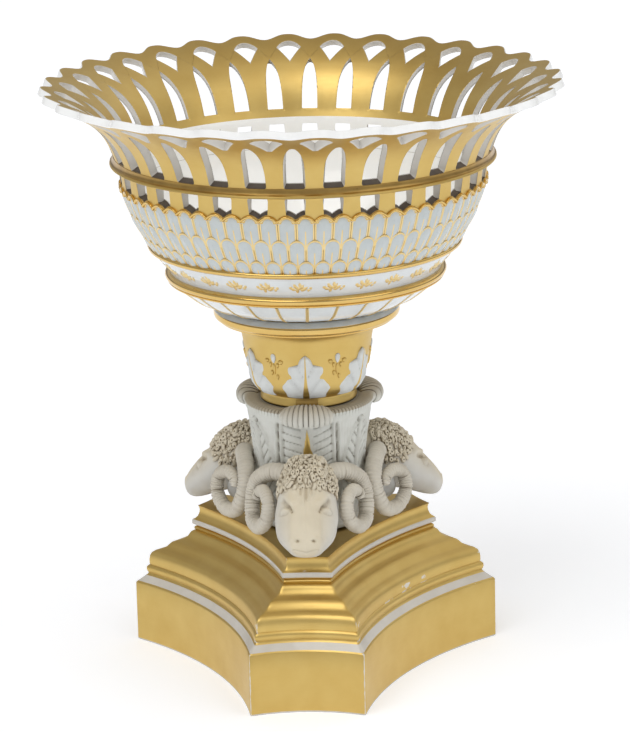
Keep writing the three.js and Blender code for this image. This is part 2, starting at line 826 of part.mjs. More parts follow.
function makeWasher(radius, bottom, thickness) {
  const bore = rodRadius + seam * 1.5;
  const top = bottom + thickness;
  return turned([[bore, bottom], [radius, bottom], [radius, top], [bore, top]], 16);
}

// Materials

function finish(color, roughness, metalness) {
  return new THREE.MeshStandardMaterial({ color, roughness, metalness });
}

const gilding = finish(0xc8a55a, 0.35, 0.9);
const glaze = finish(0xdfe3e4, 0.15, 0);
const biscuit = finish(0xcfcabf, 0.7, 0);
const iron = finish(0x6b6660, 0.55, 0.9);
const brass = finish(0xb08d4a, 0.4, 0.9);
const leather = finish(0x6a4a30, 0.8, 0);
const cork = finish(0xa07a50, 0.9, 0);

// Assembly

const centrepiece = new THREE.Group();

function place(name, geometry, material, angle = 0) {
  const mesh = new THREE.Mesh(geometry, material);
  mesh.name = name;
  mesh.rotation.z = angle;
  centrepiece.add(mesh);
}

place('plinth', makePlinth(), gilding);
place('leaf_capital', makeCapital(), biscuit);

const head = makeHead();
const rightHorn = makeHorn(1);
const leftHorn = makeHorn(-1);
['front', 'rear_right', 'rear_left'].forEach((where, i) => {
  const angle = (i * turn) / headCount;
  place(`ram_head_${where}`, head, biscuit, angle);
  place(`horn_right_${where}`, rightHorn, biscuit, angle);
  place(`horn_left_${where}`, leftHorn, biscuit, angle);
});

place('cup', makeCup(), gilding);
place('basket', makeBasket(), glaze);
place('tie_rod', makeRod(), iron);
place('bowl_soft_washer', makeWasher(softWasherRadius, bowlFloor + seam, softWasherThickness), leather);
place('bowl_washer', makeWasher(metalWasherRadius, softTop + seam, metalWasherThickness), brass);
place('bowl_nut', makeNut(washerTop + seam), brass);
place('plinth_soft_washer', makeWasher(softWasherRadius, softUnder, softWasherThickness), cork);
place('plinth_washer', makeWasher(metalWasherRadius + 2, washerUnder, metalWasherThickness), iron);
place('plinth_nut', makeNut(nutUnder), iron);

export default centrepiece;
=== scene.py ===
"""Porcelain centrepiece: a pierced and gilded basket on a cup, a leaf capital with rams' heads
and a hollow plinth, drawn together by a rod."""
import math
import random
import bpy
from mathutils import Matrix, Quaternion, Vector


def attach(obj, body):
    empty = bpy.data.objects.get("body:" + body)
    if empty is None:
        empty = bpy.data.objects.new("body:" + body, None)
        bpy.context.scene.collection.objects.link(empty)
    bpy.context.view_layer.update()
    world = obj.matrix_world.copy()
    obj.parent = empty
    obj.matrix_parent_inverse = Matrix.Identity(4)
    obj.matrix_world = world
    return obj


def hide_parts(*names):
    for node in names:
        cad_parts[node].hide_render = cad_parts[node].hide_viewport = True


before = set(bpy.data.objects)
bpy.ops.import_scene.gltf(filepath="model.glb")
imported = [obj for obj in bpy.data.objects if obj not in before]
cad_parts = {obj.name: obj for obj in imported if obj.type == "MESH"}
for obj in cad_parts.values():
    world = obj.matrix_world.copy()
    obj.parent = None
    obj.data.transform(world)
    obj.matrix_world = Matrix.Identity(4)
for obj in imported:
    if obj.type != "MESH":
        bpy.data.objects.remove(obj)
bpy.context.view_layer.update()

# Camera. The piece was photographed with a long lens from a little above its middle, close to square
# on to the front ram. The camera stood a little out of level, so the picture leans by over a degree.
mm = 0.001
aim = Vector((0, 0, 171.4 * mm))
lens_distance = 1.938
seen_from_right = math.radians(2.6)
seen_from_above = math.radians(15.5)
lean = math.radians(-1.4)
focal_length = 166.8
picture_height, moved_right, moved_up = 732, 6.85, 2.76
back_to_lens = Vector((
    math.sin(seen_from_right) * math.cos(seen_from_above),
    -math.cos(seen_from_right) * math.cos(seen_from_above),
    math.sin(seen_from_above),
))


def take_up(*pieces):
    """Deselects everything and selects these pieces. The first of them is the one worked on."""
    bpy.ops.object.select_all(action="DESELECT")
    for piece in pieces:
        piece.select_set(True)
    if pieces:
        bpy.context.view_layer.objects.active = pieces[0]


take_up()
bpy.ops.object.camera_add(location=aim + back_to_lens * lens_distance)
camera = bpy.context.object
camera.name = "camera"
camera.rotation_euler = ((-back_to_lens).to_track_quat("-Z", "Y") @ Quaternion((0, 0, 1), lean)).to_euler()
camera.data.lens = focal_length
camera.data.shift_x = moved_right / picture_height
camera.data.shift_y = moved_up / picture_height
camera.data.clip_end = 60
camera.data.dof.use_dof = False
bpy.context.scene.camera = camera

# Table and studio light. A wide pale table runs out past the picture, and large soft panes hang
# overhead and at both sides. The room is dimmer overhead, which gives the gilding its depth.
bpy.context.scene.view_settings.view_transform = "Standard"
table_reach = 14.0
# Name, bearing, height and width in degrees, and strength of each pane.
panes = [
    ("key_pane", -32, 55, 44, 0.95), ("side_pane", 58, 40, 46, 0.4),
    ("top_pane", 0, 82, 60, 0.36), ("rear_pane", 132, 38, 50, 0.24),
]


def linear(hex_colour):
    """An sRGB hex colour as the linear colour that a shader works in."""
    shares = [int(hex_colour[i:i + 2], 16) / 255 for i in (1, 3, 5)]
    return tuple(c / 12.92 if c <= 0.04045 else ((c + 0.055) / 1.055) ** 2.4 for c in shares) + (1.0,)


def add_node(material, kind, settings=(), values=(), links=()):
    """Adds one node to a material, with its settings, its socket values and what feeds its sockets."""
    made = material.node_tree.nodes.new(kind)
    for name, value in dict(settings).items():
        setattr(made, name, value)
    for socket, value in dict(values).items():
        made.inputs[socket].default_value = value
    for socket, source in dict(links).items():
        material.node_tree.links.new(source, made.inputs[socket])
    return made


def new_finish(name, **values):
    """A new material, its shader, and the place on the piece that its patterns read."""
    material = bpy.data.materials.new(name)
    material.use_nodes = True
    shader = material.node_tree.nodes["Principled BSDF"]
    for socket, value in values.items():
        shader.inputs[socket.replace("_", " ")].default_value = value
    return material, shader, add_node(material, "ShaderNodeTexCoord").outputs["Object"]


def feed(material, shader, **links):
    """Links outputs to the named sockets of a shader."""
    for socket, source in links.items():
        material.node_tree.links.new(source, shader.inputs[socket.replace("_", " ")])


# Opal acrylic sheet, sanded matt and lit faintly from below: a shade off white, cloudy by 30 cm patches.
acrylic, acrylic_shader, place_on_table = new_finish("lit_opal_acrylic", Roughness=0.75)
clouds = add_node(acrylic, "ShaderNodeTexNoise", values={"Scale": 3.3, "Detail": 2.0},
                  links={"Vector": place_on_table})
shade = add_node(acrylic, "ShaderNodeMix", {"data_type": "RGBA"}, {6: linear("#F3F6FB"), 7: linear("#F7F9FD")},
                 {0: clouds.outputs["Fac"]})
feed(acrylic, acrylic_shader, Base_Color=shade.outputs[2], Emission_Color=shade.outputs[2])
acrylic_shader.inputs["Emission Strength"].default_value = 0.32
take_up()
bpy.ops.mesh.primitive_circle_add(vertices=96, radius=table_reach, fill_type="NGON")
table = bpy.context.object
table.name = "table_top"
table.data.materials.append(acrylic)

# The room is bright round the table's edge and dim overhead, as under a dark ceiling. A band of dark
# wall over the table draws the brown lines in the burnished rings.
room = bpy.data.worlds.new("studio_room")
bpy.context.scene.world = room
room.use_nodes = True
ray = add_node(room, "ShaderNodeTexCoord")
heights = add_node(room, "ShaderNodeSeparateXYZ", links={"Vector": ray.outputs["Generated"]})
wall_to_ceiling = add_node(room, "ShaderNodeMapRange", values={"From Max": 0.85},
                           links={"Value": heights.outputs["Z"]})
walls = add_node(room, "ShaderNodeMix", {"data_type": "RGBA"}, {6: linear("#DFE4EA"), 7: linear("#938B80")},
                 {0: wall_to_ceiling.outputs["Result"]})
dark_band = add_node(room, "ShaderNodeValToRGB", links={"Fac": heights.outputs["Z"]})
stops = dark_band.color_ramp.elements
stops[-1].color = (0, 0, 0, 1)
for height, share in ((0.0, 0.0), (0.05, 0.85), (0.14, 0.85), (0.22, 0.0)):
    stops.new(height).color = (share, share, share, 1)
banded = add_node(room, "ShaderNodeMix", {"data_type": "RGBA"}, {7: linear("#5B4A38")},
                  {0: dark_band.outputs["Color"], 6: walls.outputs[2]})
room.node_tree.links.new(banded.outputs[2], room.node_tree.nodes["Background"].inputs["Color"])
room.node_tree.nodes["Background"].inputs["Strength"].default_value = 0.95
for name, bearing, height, width, strength in panes:
    take_up()
    bpy.ops.object.light_add(type="SUN")
    pane = bpy.context.object
    pane.name = name
    pane.data.energy = strength
    pane.data.angle = math.radians(width)
    pane.rotation_euler = (math.radians(90 - height), 0, math.radians(bearing))

# Plinth. It is slip-cast in hard-paste porcelain as one hollow shell with three canted corners and
# three hollow sides, and gilded outside. The two sloped fillets are left white under clear glaze.
turn = 2 * math.pi
plinth_top = 82.0
corner_reach, corner_half_width, cant_hollow = 104.3, 32.0, 6.5
side_centre_reach, side_radius = 270.0, 204.0
cant_radius = (corner_half_width ** 2 + cant_hollow ** 2) / (2 * cant_hollow)
cant_centre = Vector((0, -(corner_reach - cant_hollow + cant_radius)))
side_centre = Vector((side_centre_reach * math.sin(turn / 6), -side_centre_reach * math.cos(turn / 6)))
white_fillet = 1
foot_line, sloped_fillet, upper_fillet = (0.0, 1.0), (36.4, 40.0), (70.8, 73.9)
# Inset from the block's plan and height of each edge of the mouldings, from the foot up.
plinth_edges = [
    (0.5, 0.0), (0.0, 0.4), (0.0, 1.0), (0.0, 12.0), (0.0, 24.0), (0.0, 35.2), (0.3, 36.0), (0.9, 36.5),
    (3.3, 39.2), (4.0, 40.0), (4.6, 40.5), (4.9, 41.4), (4.5, 42.3), (4.2, 43.6), (4.3, 45.0), (5.0, 46.0),
    (5.6, 46.4), (5.4, 47.4), (5.4, 49.6), (5.7, 52.0), (6.5, 53.9), (8.0, 55.1), (10.4, 55.9), (12.4, 57.0),
    (13.6, 58.6), (14.9, 60.0), (17.0, 60.9), (19.6, 61.7), (21.5, 63.0), (22.5, 64.8), (23.3, 66.2),
    (24.5, 66.9), (25.5, 67.2), (24.9, 67.8), (24.7, 68.6), (25.1, 69.3), (26.0, 69.7), (25.8, 70.5),
    (24.1, 70.9), (23.9, 71.3), (23.9, 73.2), (24.3, 73.8), (25.3, 74.2), (26.5, 75.6), (27.3, 77.8),
    (27.5, 79.8), (27.2, 81.2), (26.8, plinth_top),
]
rod_hole, plinth_ceiling = 4.2, 76.0
cavity_edges = [(33.7, plinth_ceiling), (31.2, 64.8), (17.7, 51.0), (6.0, 30.3), (6.0, 0.0)]


def plan_corner(inset):
    """Where an inset canted face meets the inset hollow side on its right."""
    front_reach, side_reach = cant_radius + inset, side_radius + inset
    apart = (side_centre - cant_centre).length
    along = (front_reach ** 2 - side_reach ** 2 + apart ** 2) / (2 * apart)
    across = math.sqrt(front_reach ** 2 - along ** 2)
    direction = (side_centre - cant_centre) / apart
    return cant_centre + direction * along + Vector((-direction.y, direction.x)) * across


def along_arc(centre, start, end, share):
    """A point on the arc from start to end about a centre."""
    first = math.atan2(start.y - centre.y, start.x - centre.x)
    sweep = math.atan2(end.y - centre.y, end.x - centre.x) - first
    sweep -= turn * round(sweep / turn)
    angle = first + sweep * share
    return centre + Vector((math.cos(angle), math.sin(angle))) * (start - centre).length


# Shares of an arc: the steps are close at both ends, where the arris is rounded.
cant_shares = [0.02, 0.06, 0.15, 0.27, 0.4, 0.5, 0.6, 0.73, 0.85, 0.94, 0.98, 1.0]
side_shares = [0.008, 0.025, 0.06] + [0.06 + 0.88 * i / 24 for i in range(1, 25)] + [0.975, 0.992, 1.0]


def plinth_plan(inset):
    """The plan of the plinth moved inwards, as one point for each column of the sheet."""
    corner = plan_corner(inset)
    mirrored = Vector((-corner.x, corner.y))
    spun = Matrix.Rotation(turn / 3, 2)
    third = [along_arc(cant_centre, mirrored, corner, share) for share in cant_shares]
    third += [along_arc(side_centre, corner, spun @ mirrored, share) for share in side_shares]
    points = [Matrix.Rotation(k * turn / 3, 2) @ point for k in range(3) for point in third]
    count = len(points)
    for arris in [i + k * len(third) for k in range(3) for i in (len(cant_shares) - 1, len(third) - 1)]:
        points[arris] = points[arris] * 0.4 + (points[arris - 1] + points[(arris + 1) % count]) * 0.3
    return points


def bent_sheet(name, across, along, place, is_round=False, finishes=()):
    """A flat grid whose points are moved to place(column, row). A round one meets itself in a seam.
    Finishes may give the material number of each row of faces."""
    take_up()
    bpy.ops.mesh.primitive_grid_add(x_subdivisions=across, y_subdivisions=along, size=2)
    sheet = bpy.context.object
    sheet.name = name
    for face in sheet.data.polygons if finishes else ():
        face.material_index = finishes[int((face.center.y + 1) / 2 * along)]
    for point in sheet.data.vertices:
        column = round((point.co.x + 1) / 2 * across)
        row = round((point.co.y + 1) / 2 * along)
        point.co = place(column % across if is_round else column, row)
    return sheet


def open_piece(piece, parts="VERT"):
    """Opens one piece for editing, with nothing selected."""
    take_up(piece)
    bpy.ops.object.mode_set(mode="EDIT")
    bpy.ops.mesh.select_mode(type=parts)
    bpy.ops.mesh.select_all(action="DESELECT")


def closed_up(piece, gap=0.02 * mm):
    """Joins the points that lie on each other and turns the faces outwards."""
    open_piece(piece)
    bpy.ops.mesh.select_all(action="SELECT")
    bpy.ops.mesh.remove_doubles(threshold=gap)
    bpy.ops.mesh.normals_make_consistent(inside=False)
    bpy.ops.object.mode_set(mode="OBJECT")


def coated(piece, *finishes):
    """Gives a piece its finishes. Its faces name them by number."""
    for finish in finishes:
        piece.data.materials.append(finish)


def marked(piece, name, value_at):
    """Keeps a value on each point of a piece, for its finish to read."""
    mark = piece.data.attributes.new(name, "FLOAT", "POINT")
    for i in range(len(piece.data.vertices)):
        mark.data[i].value = value_at(i)


def smooth(piece, degrees):
    """Shades a piece smooth, and keeps its sharper edges."""
    take_up(piece)
    bpy.ops.object.shade_smooth_by_angle(angle=math.radians(degrees))


def stands_for(piece, slot, *nodes):
    """Says which nodes a finished piece stands for: hangs the piece under the root and hides those nodes. The
    slot is not used.
    """
    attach(piece, "root")
    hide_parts(*nodes)


plinth_columns = len(plinth_plan(0))
plinth_rings = [(plinth_plan(inset), z) for inset, z in plinth_edges]
hole_plan = [point.normalized() * rod_hole for point in plinth_plan(plinth_edges[-1][0])]
plinth_rings += [(hole_plan, plinth_top), (hole_plan, plinth_ceiling)]
plinth_rings += [(plinth_plan(inset), z) for inset, z in cavity_edges]
plinth_rings.append(plinth_rings[0])


def on_plinth(column, row):
    """Where a point of the flat sheet lies on the plinth."""
    points, z = plinth_rings[row]
    return Vector((points[column].x, points[column].y, z)) * mm


plinth = bent_sheet("gilded_plinth", plinth_columns, len(plinth_rings) - 1, on_plinth, is_round=True)
# Cloths have rubbed the gold off the arrises and the lips of the mouldings, most of all at these places.
# Middle, reach and how much is gone.
rubbed_spots = [
    ((29, -93, 50), 5, 0.7), ((-29, -93, 50), 5, 0.6), ((30, -94, 41), 3, 0.6), ((-30, -94, 41), 4, 0.6),
    ((44, -48, 48), 5, 0.56), ((55, -27, 49.6), 8, 0.62), ((64, -12, 49.6), 7, 0.6), ((75, 2, 49.6), 4, 0.58),
    ((98, 24, 52), 7, 0.5),
]
third_columns = plinth_columns // 3
lip_heights = (0.4, 36.0, 41.4, 46.4, 67.2, 74.2, 81.2)
worn_block, worn_arris, worn_lip = 0.8, 0.42, 0.36


def plinth_wear(i):
    """How far the gold is gone at a point. The spots are longer than they are high, as a cloth runs round."""
    column, row = i % (plinth_columns + 1) % third_columns, i // (plinth_columns + 1)
    height = plinth_edges[row][1] if row < len(plinth_edges) else plinth_top
    worn_edge = worn_lip if height in lip_heights else 0.0
    if column in (len(cant_shares) - 1, third_columns - 1):
        worn_edge = worn_block if height < 36.5 else worn_arris
    near = []
    for spot, reach, much in rubbed_spots:
        off = plinth.data.vertices[i].co / mm - Vector(spot)
        near.append(much * math.exp(-(off.x ** 2 + off.y ** 2 + (2.2 * off.z) ** 2) / reach ** 2))
    return worn_edge + max(near)


marked(plinth, "rubbed", plinth_wear)
closed_up(plinth)


def gilding(name, light, deep, roughness, patch_mm, rubbed=False):
    """Fired gold on glazed porcelain. Light and deep are its colours where the gold lies thick and thin.
    Rubbed gilding has worn through to the white where the value of that name is high."""
    material, shader, place = new_finish(name, Metallic=1.0, Roughness=roughness)
    # The gold is laid on with a brush, thicker and thinner in patches.
    patches = add_node(material, "ShaderNodeTexNoise", values={"Scale": 1000 / patch_mm, "Detail": 4.0},
                       links={"Vector": place})
    # The polishing stone leaves fine level streaks, 0.7 mm apart and some 10 mm long.
    laid = add_node(material, "ShaderNodeMapping", values={"Scale": (100, 100, 1400)},
                    links={"Vector": place})
    streaks = add_node(material, "ShaderNodeTexNoise", values={"Scale": 1.0, "Detail": 3.0},
                       links={"Vector": laid.outputs["Vector"]})
    tone = add_node(material, "ShaderNodeMix", {"data_type": "RGBA"}, {6: linear(deep), 7: linear(light)},
                    {0: patches.outputs["Fac"]})
    rough = add_node(material, "ShaderNodeMapRange",
                     values={"To Min": roughness * 0.85, "To Max": roughness * 1.15},
                     links={"Value": streaks.outputs["Fac"]})
    bump = add_node(material, "ShaderNodeBump", values={"Strength": 0.1, "Distance": 0.00003},
                    links={"Height": streaks.outputs["Fac"]})
    feed(material, shader, Base_Color=tone.outputs[2], Roughness=rough.outputs["Result"],
         Normal=bump.outputs["Normal"])
    if rubbed:
        wear = add_node(material, "ShaderNodeAttribute", {"attribute_name": "rubbed"})
        # It wears off in flecks some 3 mm across.
        flecks = add_node(material, "ShaderNodeTexNoise", values={"Scale": 1000 / 3.2, "Detail": 5.0},
                          links={"Vector": place})
        both = add_node(material, "ShaderNodeMath", {"operation": "ADD"},
                        links={0: wear.outputs["Fac"], 1: flecks.outputs["Fac"]})
        left = add_node(material, "ShaderNodeMath", {"operation": "MULTIPLY_ADD", "use_clamp": True},
                        {1: -12, 2: 13}, {0: both.outputs["Value"]})
        worn_tone = add_node(material, "ShaderNodeMix", {"data_type": "RGBA"}, {6: linear("#DAD4C8")},
                             {0: left.outputs["Value"], 7: tone.outputs[2]})
        feed(material, shader, Base_Color=worn_tone.outputs[2], Metallic=left.outputs["Value"])
    return material


def clear_glaze(name, body, pool, patch_mm=9, roughness=0.12):
    """Clear glaze on white hard-paste porcelain: a cool white with a wet gloss and a faint roll."""
    material, shader, place = new_finish(name, Roughness=roughness, IOR=1.5)
    roll = add_node(material, "ShaderNodeTexNoise", values={"Scale": 1000 / patch_mm, "Detail": 2.0},
                    links={"Vector": place})
    tone = add_node(material, "ShaderNodeMix", {"data_type": "RGBA"}, {6: linear(pool), 7: linear(body)},
                    {0: roll.outputs["Fac"]})
    bump = add_node(material, "ShaderNodeBump", values={"Strength": 0.15, "Distance": 0.0002},
                    links={"Height": roll.outputs["Fac"]})
    feed(material, shader, Base_Color=tone.outputs[2], Normal=bump.outputs["Normal"])
    return material


# Matt gilding: brown gold fired on and lightly rubbed, so it glows without mirroring the room.
# The glaze of the fillets is dulled and yellowed by handling.
matt_tones = ("#DABF78", "#CBAA60", 0.42, 14)
matt_gilding = gilding("matt_fired_gilding", *matt_tones)
rubbed_gilding = gilding("matt_fired_gilding_rubbed_at_the_arrises", *matt_tones, rubbed=True)
dulled_glaze = clear_glaze("clear_glaze_dulled_by_handling", "#D5D1C9", "#C4BFB5")
coated(plinth, rubbed_gilding, dulled_glaze)
for face in plinth.data.polygons:
    height = face.center.z / mm
    is_outside = face.center.xy.dot(face.normal.xy) > 0
    on_band = any(low < height < high for low, high in (foot_line, sloped_fillet, upper_fillet))
    if on_band or not is_outside and height < plinth_top - 0.5:
        face.material_index = white_fillet
smooth(plinth, 40)
stands_for(plinth, "gilded_porcelain", "plinth")

# Basket wall, pierced. The thrown bowl was cut through while leather-hard: low windows, lancets over them
# and kites under a waved rim. Both faces are gilded, and the cut edges stay white under their glaze.
arches = 32
arch = turn / arches
# The wall is drawn flat, at the scale of a circle of this radius, and then bent round.
flat_radius = 120.0
wall, edge_round = 4.3, 0.48
lattice_foot, window_foot, window_head, light_foot, rim_height = 279.5, 282.4, 294.4, 300.0, 335.8
gilt_foot_inside = 296.4
light_turn = math.radians(3.05)


def lattice_radius(z):
    """Radius of the wall's outer face: a little wider upwards, then a long flare."""
    if z < window_head:
        return 102.6 + 1.4 * (z - window_foot) / (window_head - window_foot)
    if z < light_foot:
        return 104.0 + 2.6 * (z - window_head) / (light_foot - window_head)
    share = (z - light_foot) / (rim_height - light_foot)
    return 106.6 + 40.6 * (0.31 * share + 0.69 * share ** 3.1)


def on_circle(radius, angle, z):
    """The point at a radius, an angle round from the front and a height."""
    return Vector((radius * math.sin(angle), -radius * math.cos(angle), z)) * mm


def profile_line(points):
    """Adds the length along a profile to each of its radii and heights."""
    line = [(0.0, *points[0])]
    for radius, z in points[1:]:
        run, last_radius, last_z = line[-1]
        line.append((run + math.hypot(radius - last_radius, z - last_z), radius, z))
    return line


def bent_round(line, point, reach=3):
    """Bends a point of a flat drawing round a turned face. The drawing's upper side looks outwards."""
    run, lift = point.y / mm, point.z / mm
    i = max(1, next((n for n, entry in enumerate(line) if entry[0] > run), len(line) - 1))
    first, second = line[i - 1], line[i]
    share = (run - first[0]) / (second[0] - first[0])
    radius, z = (first[k] + (second[k] - first[k]) * share for k in (1, 2))
    before, after = line[max(0, i - reach)], line[min(len(line) - 1, i + reach - 1)]
    lean_out = math.atan2(after[1] - before[1], after[2] - before[2])
    radius += lift * math.cos(lean_out)
    z -= lift * math.sin(lean_out)
    return on_circle(radius, point.x / mm / flat_radius, z)


line_steps = 110
lattice_heights = [lattice_foot + (rim_height - lattice_foot) * i / line_steps for i in range(line_steps + 1)]
lattice_line = profile_line([(lattice_radius(z), z) for z in lattice_heights])
rim_run = lattice_line[-1][0]


def run_at(z):
    """Length along the outer face at a height."""
    return lattice_line[round((z - lattice_foot) / (rim_height - lattice_foot) * line_steps)][0]


def mirrored_outline(half_line, middle):
    """Closes an outline about a middle line. The half is listed upwards on the right of it."""
    left = [(middle - x, y) for x, y in reversed(half_line) if x > 1e-6]
    return [(middle + x, y) for x, y in half_line] + left


def drawn_plate(name, outlines, thickness, round_edge):
    """A flat plate with rounded edges. The first outline is its edge, and the others are holes."""
    drawn = bpy.data.curves.new(name, "CURVE")
    drawn.dimensions, drawn.fill_mode = "2D", "BOTH"
    drawn.extrude = (thickness / 2 - round_edge) * mm
    drawn.bevel_depth, drawn.bevel_resolution, drawn.offset = round_edge * mm, 1, -round_edge * mm
    for outline in outlines:
        line = drawn.splines.new("POLY")
        line.points.add(len(outline) - 1)
        for point, (x, y) in zip(line.points, outline):
            point.co = (x * mm, y * mm, 0, 1)
        line.use_cyclic_u = True
    plate = bpy.data.objects.new(name, drawn)
    bpy.context.collection.objects.link(plate)
    take_up(plate)
    bpy.ops.object.convert(target="MESH")
    return bpy.context.object


def cut(at, normal, keep_both=True):
    """Cuts the opened piece along a plane, and may take away what lies on the normal's side."""
    bpy.ops.mesh.select_all(action="SELECT")
    bpy.ops.mesh.bisect(plane_co=at, plane_no=normal, clear_outer=not keep_both)


def copied(piece, move):
    """A moved copy of a piece, with its own mesh."""
    twin = piece.copy()
    twin.data = piece.data.copy()
    twin.data.transform(move)
    bpy.context.collection.objects.link(twin)
    return twin


def joined(pieces):
    """Joins pieces to the first of them."""
    take_up(*pieces)
    bpy.ops.object.join()
    return bpy.context.object


def copied_round(piece, count):
    """Copies a piece round the axis and joins the copies to it."""
    return joined([piece] + [copied(piece, Matrix.Rotation(k * turn / count, 4, "Z")) for k in range(1, count)])


# Half of the lancet, the kite and the low window, right of their middle lines, foot to head.
light_half = light_turn * flat_radius
lancet_foot_run, lancet_head_run, foot_round = run_at(light_foot), rim_run - 22.9, 1.5
lancet = [(light_half - 1.4, lancet_foot_run), (light_half - 0.4, lancet_foot_run + 0.4)]
for i in range(19):
    share = (i / 18) ** 0.8
    narrowing = (1 - 0.12 * share) * max(0.0, 1 - share ** 3.2) ** 0.8
    up_side = foot_round + (lancet_head_run - lancet_foot_run - foot_round) * share
    lancet.append((light_half * narrowing, lancet_foot_run + up_side))
kite = [(x, rim_run - below_rim) for x, below_rim in (
    (0.0, 26.8), (0.45, 26.4), (2.3, 23.2), (4.2, 19.6), (5.8, 16.6), (6.6, 15.2),
    (6.7, 14.4), (6.4, 13.6), (5.0, 11.3), (3.4, 9.5), (1.7, 8.3), (0.0, 7.9),
)]
window_foot_run, window_head_run = run_at(window_foot), run_at(window_head)
window = []
for i in range(10):
    lobe = abs(math.sin(arches * light_turn * i / 9))
    window.append((light_half * i / 9, window_foot_run + 2.6 * lobe))
window += [(light_half, window_head_run - 1.6), (light_half - 0.4, window_head_run - 0.5),
           (light_half - 1.5, window_head_run), (0.0, window_head_run)]
half_arch = arch / 2 * flat_radius
# The rim rises to a round head over each kite and dips between them.
rim_line, rim_dip = [], 5.8
for i in range(-9, 37):
    x = half_arch * i / 18
    valley = ((1 + math.cos(math.pi * x / half_arch)) / 2) ** 1.3
    rim_line.append((x, rim_run - rim_dip * valley))
edge = [(-half_arch / 2, 0.0), (2 * half_arch, 0.0)] + rim_line[::-1]
holes = [mirrored_outline(lancet, 0), mirrored_outline(kite, half_arch), mirrored_outline(window, 0)]
lattice = drawn_plate("pierced_wall", [edge] + holes, wall, edge_round)
# The knife is held at a slant, so each light is wider outside than inside. A point lies on a cut if it is
# near a corner of the drawn outline and nearer still to its line.
slant, near_corner, near_line = 0.3, 1.5, 0.6
for point in lattice.data.vertices:
    at = Vector((point.co.x, point.co.y)) / mm
    for outline in holes:
        distance, i = min(((Vector(spot) - at).length, i) for i, spot in enumerate(outline))
        if distance < near_corner:
            along = Vector(outline[(i + 1) % len(outline)]) - Vector(outline[i - 1])
            away = Vector((along.y, -along.x)).normalized()
            if abs((at - Vector(outline[i])).dot(away)) < near_line:
                point.co.x += away.x * slant * point.co.z
                point.co.y += away.y * slant * point.co.z
# Half an arch is kept and cut into strips, so that it can bend.
open_piece(lattice)
cut((0, 0, 0), (-1, 0, 0), keep_both=False)
cut((half_arch * mm, 0, 0), (1, 0, 0), keep_both=False)
for i in range(1, 30):
    cut((0, rim_run * i / 30 * mm, 0), (0, 1, 0))
for i in (1, 2):
    cut((half_arch * i / 3 * mm, 0, 0), (1, 0, 0))
cut((0, run_at(gilt_foot_inside) * mm, 0), (0, 1, 0))
bpy.ops.object.mode_set(mode="OBJECT")
gilt, bare_edge, browned, inside_white = 0, 1, 2, 3
# Burnished gilding is the same gold rubbed with an agate, so it mirrors the room in soft streaks. The glaze
# is thin and warm on the cut edges and brown at the foot of a light. Inside the bowl and on the cut edge of the
# rim it is painted a brighter white, as painted light.
burnished_gilding = gilding("burnished_gilding", "#E2C27C", "#D3AE62", 0.16, 20)
cut_edge_glaze = clear_glaze("thin_glaze_on_cut_edges", "#D9D6D0", "#C9C5BD")
browned_glaze = clear_glaze("browned_glaze_in_the_lights", "#6A6055", "#544A42", 3, roughness=0.5)
glaze_painted_bright_inside = clear_glaze("clear_glaze_inside_the_bowl", "#FDFEFD", "#FAFBFA", 14)
coated(lattice, matt_gilding, cut_edge_glaze, browned_glaze, glaze_painted_bright_inside)
for face in lattice.data.polygons:
    middle, facing = face.center / mm, face.normal
    if facing.z > 0.98:
        face.material_index = gilt
    elif facing.z < -0.98:
        face.material_index = gilt if middle.y > run_at(gilt_foot_inside) else inside_white
    elif middle.y > rim_run - 6.5:
        face.material_index = inside_white
    elif facing.y < -0.4 and middle.y < lancet_foot_run + 3:
        face.material_index = browned
    else:
        face.material_index = bare_edge
other_half = copied(lattice, Matrix.Diagonal((-1, 1, 1, 1)))
open_piece(other_half, "FACE")
bpy.ops.mesh.select_all(action="SELECT")
bpy.ops.mesh.flip_normals()
bpy.ops.object.mode_set(mode="OBJECT")
lattice = joined([lattice, other_half])
for point in lattice.data.vertices:
    point.co = bent_round(lattice_line, point.co - Vector((0, 0, wall / 2 * mm)), 5)
lattice = copied_round(lattice, arches)
closed_up(lattice, 0.005 * mm)
smooth(lattice, 50)
# The broad faces stay flat in the shading beside their rounded edges.
bpy.ops.object.modifier_add(type="WEIGHTED_NORMAL")
bpy.ops.object.modifier_apply(modifier=lattice.modifiers[-1].name)
stands_for(lattice, "glazed_porcelain", "basket")

# Basket body. The bowl is thrown in one with its ring mouldings and turned when leather-hard.
# White glaze lies in the frieze, the underside and the bowl, and the rings are burnished gold.


def turned(name, profile, steps, finishes):
    """A turned piece from a closed profile of radius, height and the number of its finish."""
    def on_profile(column, row):
        radius, z = profile[row][:2]
        return on_circle(radius, turn * column / steps, z)

    piece = bent_sheet(name, steps, len(profile) - 1, on_profile, True, [entry[2] for entry in profile[:-1]])
    coated(piece, *finishes)
    closed_up(piece)
    return piece


